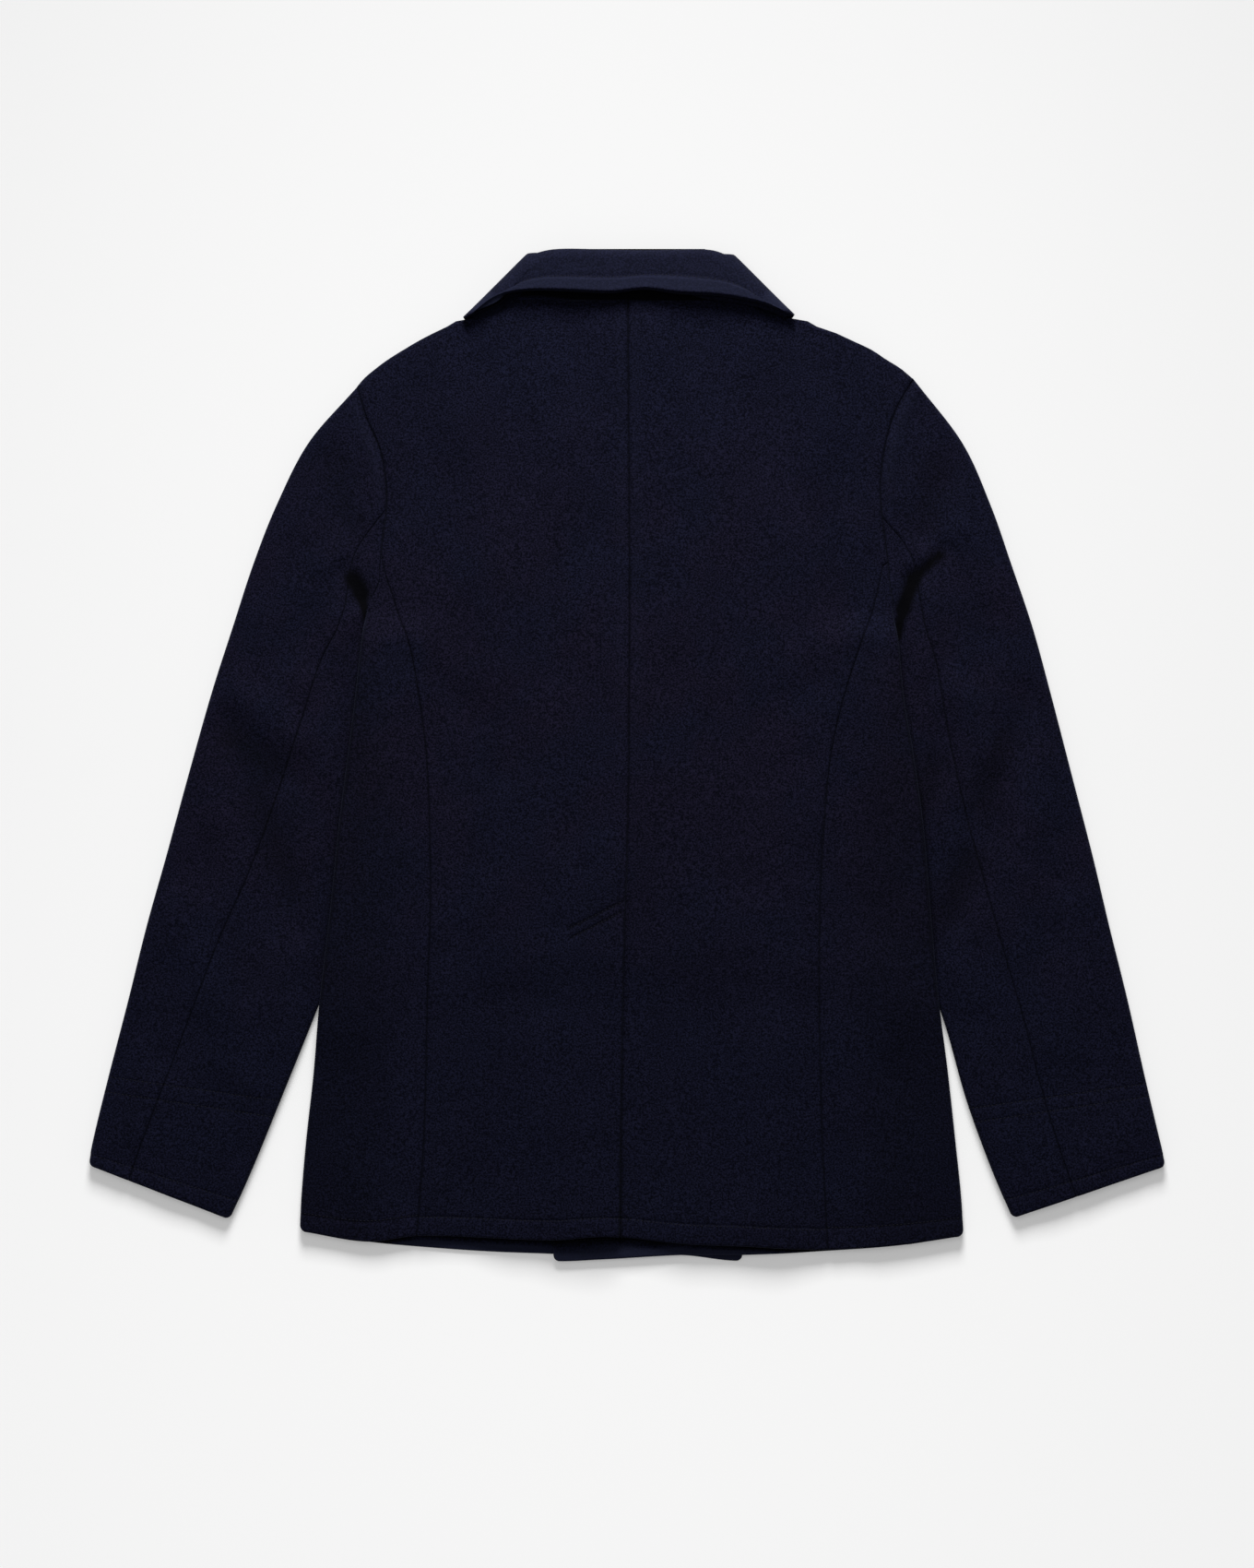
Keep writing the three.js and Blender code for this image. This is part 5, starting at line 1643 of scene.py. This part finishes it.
@dataclass
class Collar:
    """The turned-down collar: a fall that goes round to the front at both sides, under collar and stand."""

    form: Form
    wardrobe: Wardrobe
    crease: float = 0.01705
    height: float = 0.0235
    under_top: float = 0.0202
    stand_low: float = 0.0103
    top: float = 0.405
    # line across the stand above which it is painted in shadow, where it is seen under the fall
    painted_shadow_line: tuple = (
        (-0.090, 0.3665), (-0.070, 0.3672), (-0.059, 0.3660), (-0.044, 0.3643), (0.015, 0.3634), (0.1, 0.363),
    )
    roll: float = 0.20
    corner: float = 0.30
    band: float = 0.56
    puff: float = 0.0034
    depth: float = 0.031
    thread: Thread = field(default_factory=Thread)
    cuts: dict = field(default_factory=lambda: {
        "collar_fall": Cut(0.50, 0.12, 0.0258), "under_collar": Cut(0.23, 0.03, 0.0049),
        "collar_stand": Cut(0.18, 0.05, 0.0069),
    })

    def __post_init__(self) -> None:
        """Reads the lines across the collar."""
        table = np.array(COLLAR_LINES)
        self.crease_y, self.ridge_y, self.edge_y = (Track(table[:, 0], table[:, k]) for k in (1, 2, 3))

    def turn(self, side: Side, v: Array, inset: Array) -> tuple[Array, Array]:
        """Plan of the fold at a shoulder, set in from it at a slant that grows down the fall.

        Args:
            side: the shoulder's.
            v: rows, from the crease to the free edge.
            inset: how far in from the fold.

        Returns:
            Places across and up.
        """
        (ax, ay), (bx, by) = TURN_TOP[side], TURN_LOW[side]
        slant = math.pi / 4 * np.minimum(1, v / self.corner)
        inset = inset * (1 - 0.80 * smooth((v - 0.55) / 0.45))
        x = mix(ax, bx, v) - side.value * inset * np.cos(slant)
        return x, mix(ay, by, v) - inset * np.sin(slant)

    def plan(self, s: Array, v: Array, inset: Array) -> tuple[Array, Array]:
        """Plan of the fall: s runs from the left turn to the right, v from the crease to the free edge.

        Args:
            s: shares across.
            v: shares down.
            inset: how far in from the folds the shares start.

        Returns:
            Places across and up.
        """
        left_x, left_y = self.turn(Side.LEFT, v, inset)
        right_x, right_y = self.turn(Side.RIGHT, v, inset)
        x = mix(left_x, right_x, s)
        above = mix(self.crease_y(x), self.ridge_y(x), np.minimum(v / self.band, 1))
        below = mix(self.ridge_y(x), self.edge_y(x), np.clip((v - self.band) / (1 - self.band), 0, None))
        middle = np.where(v < self.band, above, below)
        drop = np.abs(2 * s - 1) ** (8 + 3 * v)
        return x, mix(middle, np.where(s < 0.5, left_y, right_y), drop)

    def swell(self, v: Array) -> Array:
        """Height of the fall's stitched band: a groove, then a full roll to the free edge."""
        t = np.clip((v - self.band) / (1 - self.band), 0, 1)
        full = self.puff * (0.6 * smooth(t / 0.22) + 0.4 * t) * (1 - 0.6 * smooth((t - 0.84) / 0.16))
        return full - 0.0004 * bell(v - self.band + 0.01, 0.040)

    def end(self, side: Side, v: Array, radius: Array) -> tuple[Array, Array]:
        """The fold at a shoulder and the leaf under it, which ends at the gorge.

        Args:
            side: the shoulder's.
            v: rows, from the crease to the free edge.
            radius: of the fold, for each row.

        Returns:
            Points of the outer and of the inner side, from left to right.
        """
        at = np.full((1, 1), 0.0 if side is Side.LEFT else 1.0)
        roll = Roll(0.0, radius, turn_round(90, -90, FOLD_STEPS)[None, 1:])
        start = self.plan(at, v, radius)
        t = np.linspace(0, 1, 22)[None, 1:]
        leaf = [mix(start[k], mix(GORGE_TOP[side][k], GORGE_LOW[side][k], v), t) for k in (0, 1)]
        pinch = pinched((1 - t) * 0.11) + pinched((1 - v) * self.depth)
        way = -1 if side is Side.LEFT else 1
        sides = ((roll.out(), roll.height(), pinch), (roll.out_in(), roll.height_in(), CLOTH - pinch))
        grids = []
        for out, z, low in sides:
            fold = self.plan(at, v, out)
            grid = points_of(joined(fold[0], leaf[0]), joined(fold[1], leaf[1]), joined(z, low))
            grids.append(grid[:, ::way])
        return tuple(grids)

    def fall(self) -> Wall:
        """The fall: rows go from the crease to the free edge, columns from the left point to the right.

        Returns:
            Its wall.
        """
        v = np.unique(np.concatenate([
            np.linspace(0, 0.2, 12), np.linspace(0.2, 0.56, 10), np.linspace(0.56, 0.72, 15),
            np.linspace(0.72, 0.94, 14), 1 - np.array([0.05, 0.04, 0.03, 0.02, 0.012, 0.006, 0.0]),
        ]))[:, None]
        even = np.linspace(0, 1, 111)[None, :]
        s = mix(0.5 - 0.5 * np.cos(np.pi * even), even, 0.6)
        out = np.abs(2 * s - 1)
        cos = np.maximum(0, 1 - v / self.roll)
        sin = np.sqrt(1 - cos * cos)
        base = self.crease + (self.height - self.crease) * sin
        rolled = 1 - out**16
        x, y = self.plan(s, v, base / 2)
        x_in, y_in = self.plan(s, v + 0.095 * cos * rolled, base / 2)
        swell = self.swell(v) * smooth((1 - out) / 0.10)
        lie = ripple(x, y, 0.050, 0.0004, 41) * smooth(v / 0.2) * rolled
        free = pinched((1 - v) * self.depth)
        z = base + swell + lie - free
        z_in = base + swell * 0.75 + lie - CLOTH * mix(1, sin, rolled) + free
        left, right = (self.end(side, v, base / 2) for side in Side)
        outer = np.concatenate([left[0], points_of(x, y, z), right[0]], axis=1)
        inner = np.concatenate([left[1], points_of(x_in, y_in, z_in), right[1]], axis=1)
        # painted highlight over the fall, strongest on its stitched band, and painted shade at its free edge
        shade = lined(v - self.band + 0.01, 0.10, 0.028) - 0.22 - 0.25 * smooth((v - self.band) / 0.08)
        shade = shade + 0.75 * smooth((v - 0.88) / 0.10) + 0 * outer[:, :, 0]
        self.ends, self.rows = left[0].shape[1], v[:, 0]
        return Wall("collar_fall", outer, inner, shade)

    def under_collar(self) -> Wall:
        """The under collar, flat under the fall, which shows past it towards the right shoulder.

        Returns:
            Its wall.
        """
        v = np.linspace(0.22, 1, 20)[:, None]
        s = np.linspace(0, 1, 90)[None, :]
        x, y = self.plan(s, v, self.height / 2 + 0.002)
        shown = smooth((x - 0.030) / 0.040)
        y = y + mix(0.0045, -0.0030, shown) * smooth((v - 0.5) / 0.5) * smooth((1 - np.abs(2 * s - 1)) / 0.06)
        z = self.under_top - 0.0004 + 0 * x - 0.0008 * smooth((v - 0.6) / 0.4)
        pinch = pinched((1 - v) * 0.03)
        inner = points_of(x, y, z - CLOTH + pinch)
        # painted shade under the fall, lighter where the under collar shows past it
        return Wall("under_collar", points_of(x, y, z - pinch), inner, mix(0.95, 0.25, shown))

    def stand(self) -> Wall:
        """The stand: from the neck seam up to the crease, where it curls up to meet the fall.

        Returns:
            Its wall.
        """
        rise = self.crease - SEAM - self.stand_low
        v = np.linspace(0, 1, 40)[:, None]
        curl = np.pi / 2 * np.clip((v - 0.82) / 0.18, 0, 1)
        x = mix(mix(-0.088, -0.056, v), mix(0.094, 0.062, v), np.linspace(0, 1, 60)[None, :])
        flat_y = mix(NECK_Y + SEAM, self.top - rise, np.minimum(1, v / 0.82))
        level = mix(self.form.top(x, NECK_Y), self.stand_low + CLOTH, smooth(v / 0.5)) - CLOTH
        low_y = flat_y + rise * np.sin(curl) + tucked(flat_y - NECK_Y)
        low = points_of(x, low_y, level + rise * (1 - np.cos(curl)))
        high_z = level + CLOTH + (rise - CLOTH) * (1 - np.cos(curl))
        high = points_of(x, flat_y + (rise - CLOTH) * np.sin(curl), high_z)
        # painted shadow: the stand is black above that line, in the gap under the fall
        line = np.interp(x, *np.array(self.painted_shadow_line).T)
        return Wall("collar_stand", low, high, smooth((flat_y - line) / 0.0012))

    def build(self) -> None:
        """Makes the three pieces and the fall's stitching."""
        fall = self.fall()
        self.wardrobe.cloth(fall, self.cuts[fall.name], ("under_collar", "floor"))
        row = int(np.argmin(np.abs(self.rows - self.band + 0.01)))
        across = slice(self.ends, fall.outer.shape[1] - self.ends)
        self.thread.sew(fall.outer[row, across], fall.normals()[row, across])
        under = self.under_collar()
        self.wardrobe.cloth(under, self.cuts[under.name], ("back_left", "back_right"))
        stand = self.stand()
        self.wardrobe.cloth(stand, self.cuts[stand.name], ("back_left", "back_right"))
        self.wardrobe.sewn(self.thread, "collar_stitching")


@dataclass
class Front:
    """What is under the foreparts: the turned lapels and the two columns of buttons."""

    wardrobe: Wardrobe
    columns: tuple = (-0.034, 0.0675)
    rows: tuple = (0.135, 0.015, -0.105)
    radius: float = 0.014
    thick: float = 0.0034
    hole: float = 0.0011
    pitch: float = 0.0022
    drilled: tuple = (-0.002, 0.006)
    stitched: float = 0.0072
    rings: tuple = (
        0.0, 0.0004, 0.0009, 0.0015, 0.003, 0.0055, 0.0066, 0.0072, 0.0078, 0.009, 0.014, 0.022, 0.03,
    )
    cuts: dict = field(default_factory=lambda: {
        "lapel_left": Cut(0.205, 0.115, 0.0143), "lapel_right": Cut(0.11, 0.135, 0.0078),
    })

    def lapel(self, side: Side) -> Wall:
        """A lapel: rings of its outline drawn in to its middle, rounded at the edge and stitched round.

        Args:
            side: the lapel's.

        Returns:
            Its wall.
        """
        corners = np.array(LAPEL[side])
        closed = np.vstack([corners, corners[:1]])
        run = run_of(*closed.T)
        at = np.linspace(0, run[-1], 181)
        outline = np.stack([np.interp(at, run, closed[:, k]) for k in (0, 1)], axis=1)
        middle = outline[:-1].mean(axis=0)
        size = np.hypot(*(outline - middle).T).mean()
        away = np.array(self.rings)
        share = np.append(1 - np.minimum(away / size, 0.97), 0.001)[:, None, None]
        plan = middle + share * (outline - middle)
        depth = np.append(away, size)[:, None] + 0 * plan[:, :, 0]
        pinch = pinched(depth)
        groove = grooved(depth - self.stitched, STITCH_DEEP, 0.0008)
        levels = (pinch - groove * 0.8, CLOTH - pinch)
        low, high = (points_of(plan[:, :, 0], plan[:, :, 1], z) for z in levels)
        return Wall(f"lapel_{side.label}", low, high, 0 * depth)

    def button(self, name: str, x: float, y: float) -> bpy.types.Object:
        """A dished button with a raised rim: a profile turned about its axis, with four holes cut through.

        Args:
            name: of the object.
            x: its place across.
            y: its place up.

        Returns:
            The linked object.
        """
        r, h = self.radius, self.thick
        profile = np.array([
            (0.0, 0.0009), (0.55 * r, 0.0009), (0.68 * r, 0.0006), (0.78 * r, 0.0001), (0.86 * r, 0.0),
            (0.94 * r, 0.0003), (0.985 * r, 0.0010), (r, 0.0017), (0.985 * r, 0.0025), (0.93 * r, h - 0.0002),
            (0.84 * r, h), (0.0, h),
        ])
        sides = 64
        angle = 2 * math.pi * np.arange(sides) / sides
        rings = profile[1:-1]
        body = points_of(rings[:, :1] * np.cos(angle), rings[:, :1] * np.sin(angle), rings[:, 1:])
        points = np.concatenate([body.reshape(-1, 3), [[0, 0, profile[0, 1]], [0, 0, h]]])
        at = np.arange(len(rings) * sides).reshape(len(rings), sides)
        turned = np.roll(at, -1, axis=1)
        quads = np.stack([at[:-1], turned[:-1], turned[1:], at[1:]], axis=2).reshape(-1, 4)
        low, high = len(points) - 2, len(points) - 1
        fan_low = np.stack([at[0], np.full(sides, low), turned[0]], axis=1)
        fan_high = np.stack([at[-1], turned[-1], np.full(sides, high)], axis=1)
        mesh = bpy.data.meshes.new(name)
        faces = quads.tolist() + fan_low.tolist() + fan_high.tolist()
        mesh.from_pydata((points + [x, y, 0]).tolist(), [], faces)
        obj = bpy.data.objects.new(name, mesh)
        bpy.context.scene.collection.objects.link(obj)
        self.drill(obj, x, y)
        mesh.polygons.foreach_set("use_smooth", np.ones(len(mesh.polygons), bool))
        obj.data.set_sharp_from_angle(angle=math.radians(40))
        return obj

    def drill(self, obj: bpy.types.Object, x: float, y: float) -> None:
        """Cuts the four sewing holes through a button and keeps the result as its mesh.

        Args:
            obj: the button.
            x: its place across.
            y: its place up.
        """
        sides = 16
        angle = 2 * math.pi * np.arange(sides) / sides
        ring = np.arange(sides)
        points, faces = [], []
        for across, up in ((1, 1), (-1, 1), (-1, -1), (1, -1)):
            low, high = ring + len(points), ring + len(points) + sides
            ring_x = x + across * self.pitch + self.hole * np.cos(angle)
            ring_y = y + up * self.pitch + self.hole * np.sin(angle)
            for level in self.drilled:
                points += points_of(ring_x, ring_y, np.full(sides, level)).tolist()
            faces += [low[::-1].tolist(), high.tolist()]
            faces += np.stack([low, np.roll(low, -1), np.roll(high, -1), high], axis=1).tolist()
        tool_mesh = bpy.data.meshes.new("drill")
        tool_mesh.from_pydata(points, [], faces)
        tool = bpy.data.objects.new("drill", tool_mesh)
        bpy.context.scene.collection.objects.link(tool)
        cut = obj.modifiers.new("holes", "BOOLEAN")
        cut.operation = "DIFFERENCE"
        cut.solver = "EXACT"
        cut.object = tool
        view = bpy.context.evaluated_depsgraph_get()
        obj.data = bpy.data.meshes.new_from_object(obj.evaluated_get(view))
        obj.modifiers.clear()
        bpy.data.objects.remove(tool)

    def build(self) -> None:
        """Makes the lapels and the buttons."""
        for side in Side:
            wall = self.lapel(side)
            self.wardrobe.cloth(wall, self.cuts[wall.name], ("floor",))
        for row, y in enumerate(self.rows, 1):
            for column, x in zip("ab", self.columns):
                node = f"button_{row}{column}"
                obj = self.button(f"{node}_turned", x, y)
                obj.data.materials.clear()
                obj.data.materials.append(self.wardrobe.button)
                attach(obj, "root")
                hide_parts(node)
                log.info("%s: %d faces", obj.name, len(obj.data.polygons))


@dataclass
class Studio:
    """A pale floor, soft light from above the collar and from overhead, and a camera straight above."""

    pixel: float = 0.00074
    image_height: int = 1700
    middle_row: float = 820.0
    lens: float = 100.0
    sensor: float = 36.0
    floor_size: float = 8.0
    floor_span: tuple = (-0.64, 0.60)
    floor_stops: tuple = ((0.0, (0.895,) * 3), (0.516, (0.632,) * 3), (1.0, (0.415,) * 3))
    floor_glow: float = 0.20
    lights: tuple = (("window", (0.0, 2.1, 1.4), 1.0, 92.0), ("overhead", (-0.5, 0.5, 3.4), 2.0, 22.0))
    air: float = 0.22

    def floor(self) -> None:
        """The surface that the coat lies on."""
        half = self.floor_size / 2
        points = np.array([(-half, -half, 0), (half, -half, 0), (half, half, 0), (-half, half, 0)], float)
        obj = mesh_object("floor", points - [0, 0, 0.0001], np.array([[0, 1, 2, 3]]))
        n = Nodes("paper")
        place = n.node("ShaderNodeTexCoord", {}, {}, "Object")
        up = n.node("ShaderNodeSeparateXYZ", {}, {0: place}, 1)
        ramp = n.node("ShaderNodeValToRGB", {"stops": self.floor_stops}, {0: n.ranged(up, *self.floor_span)})
        obj.data.materials.append(n.dress(
            Base_Color=ramp, Roughness=0.9, Specular_IOR_Level=0.1, Emission_Color=(1.0, 1.0, 1.0, 1.0),
            Emission_Strength=self.floor_glow,
        ))

    def camera(self) -> None:
        """The camera, at the height where the image's long side takes in its real length."""
        data = bpy.data.cameras.new("camera")
        data.lens = self.lens
        data.sensor_width = self.sensor
        data.clip_end = 50.0
        obj = bpy.data.objects.new("camera", data)
        distance = self.image_height * self.pixel * self.lens / self.sensor
        centre_y = (self.middle_row - self.image_height / 2) * self.pixel
        obj.location = (0.0, centre_y, distance)
        bpy.context.scene.collection.objects.link(obj)
        bpy.context.scene.camera = obj

    def area(self, name: str, place: tuple, size: float, power: float) -> None:
        """A square soft light at a place, aimed at the middle of the coat.

        Args:
            name: of the light.
            place: where it hangs.
            size: length of its side.
            power: in watts.
        """
        data = bpy.data.lights.new(name, "AREA")
        data.size = size
        data.energy = power
        obj = bpy.data.objects.new(name, data)
        obj.location = place
        obj.rotation_euler = Vector(place).to_track_quat("Z", "Y").to_euler()
        bpy.context.scene.collection.objects.link(obj)

    def build(self) -> None:
        """Sets up the floor, the camera and the light."""
        self.floor()
        self.camera()
        for light in self.lights:
            self.area(*light)
        world = bpy.data.worlds.new("room")
        world.use_nodes = True
        air = world.node_tree.nodes["Background"].inputs
        air[0].default_value, air[1].default_value = (1.0, 1.0, 1.0, 1.0), self.air
        bpy.context.scene.world = world
        bpy.context.scene.view_settings.view_transform = "Standard"


def main() -> None:
    """Builds the coat and its surroundings."""
    logging.basicConfig(level=logging.INFO, format="%(name)s: %(message)s")
    Studio().build()
    wardrobe = Wardrobe(MeltonFinish().material(), ThreadFinish().material(), ButtonFinish().material())
    form = Form()
    Body(form, wardrobe).build()
    for side in Side:
        Sleeve(form, wardrobe, side).build()
    Collar(form, wardrobe).build()
    Front(wardrobe).build()


if __name__ == "__main__":
    main()
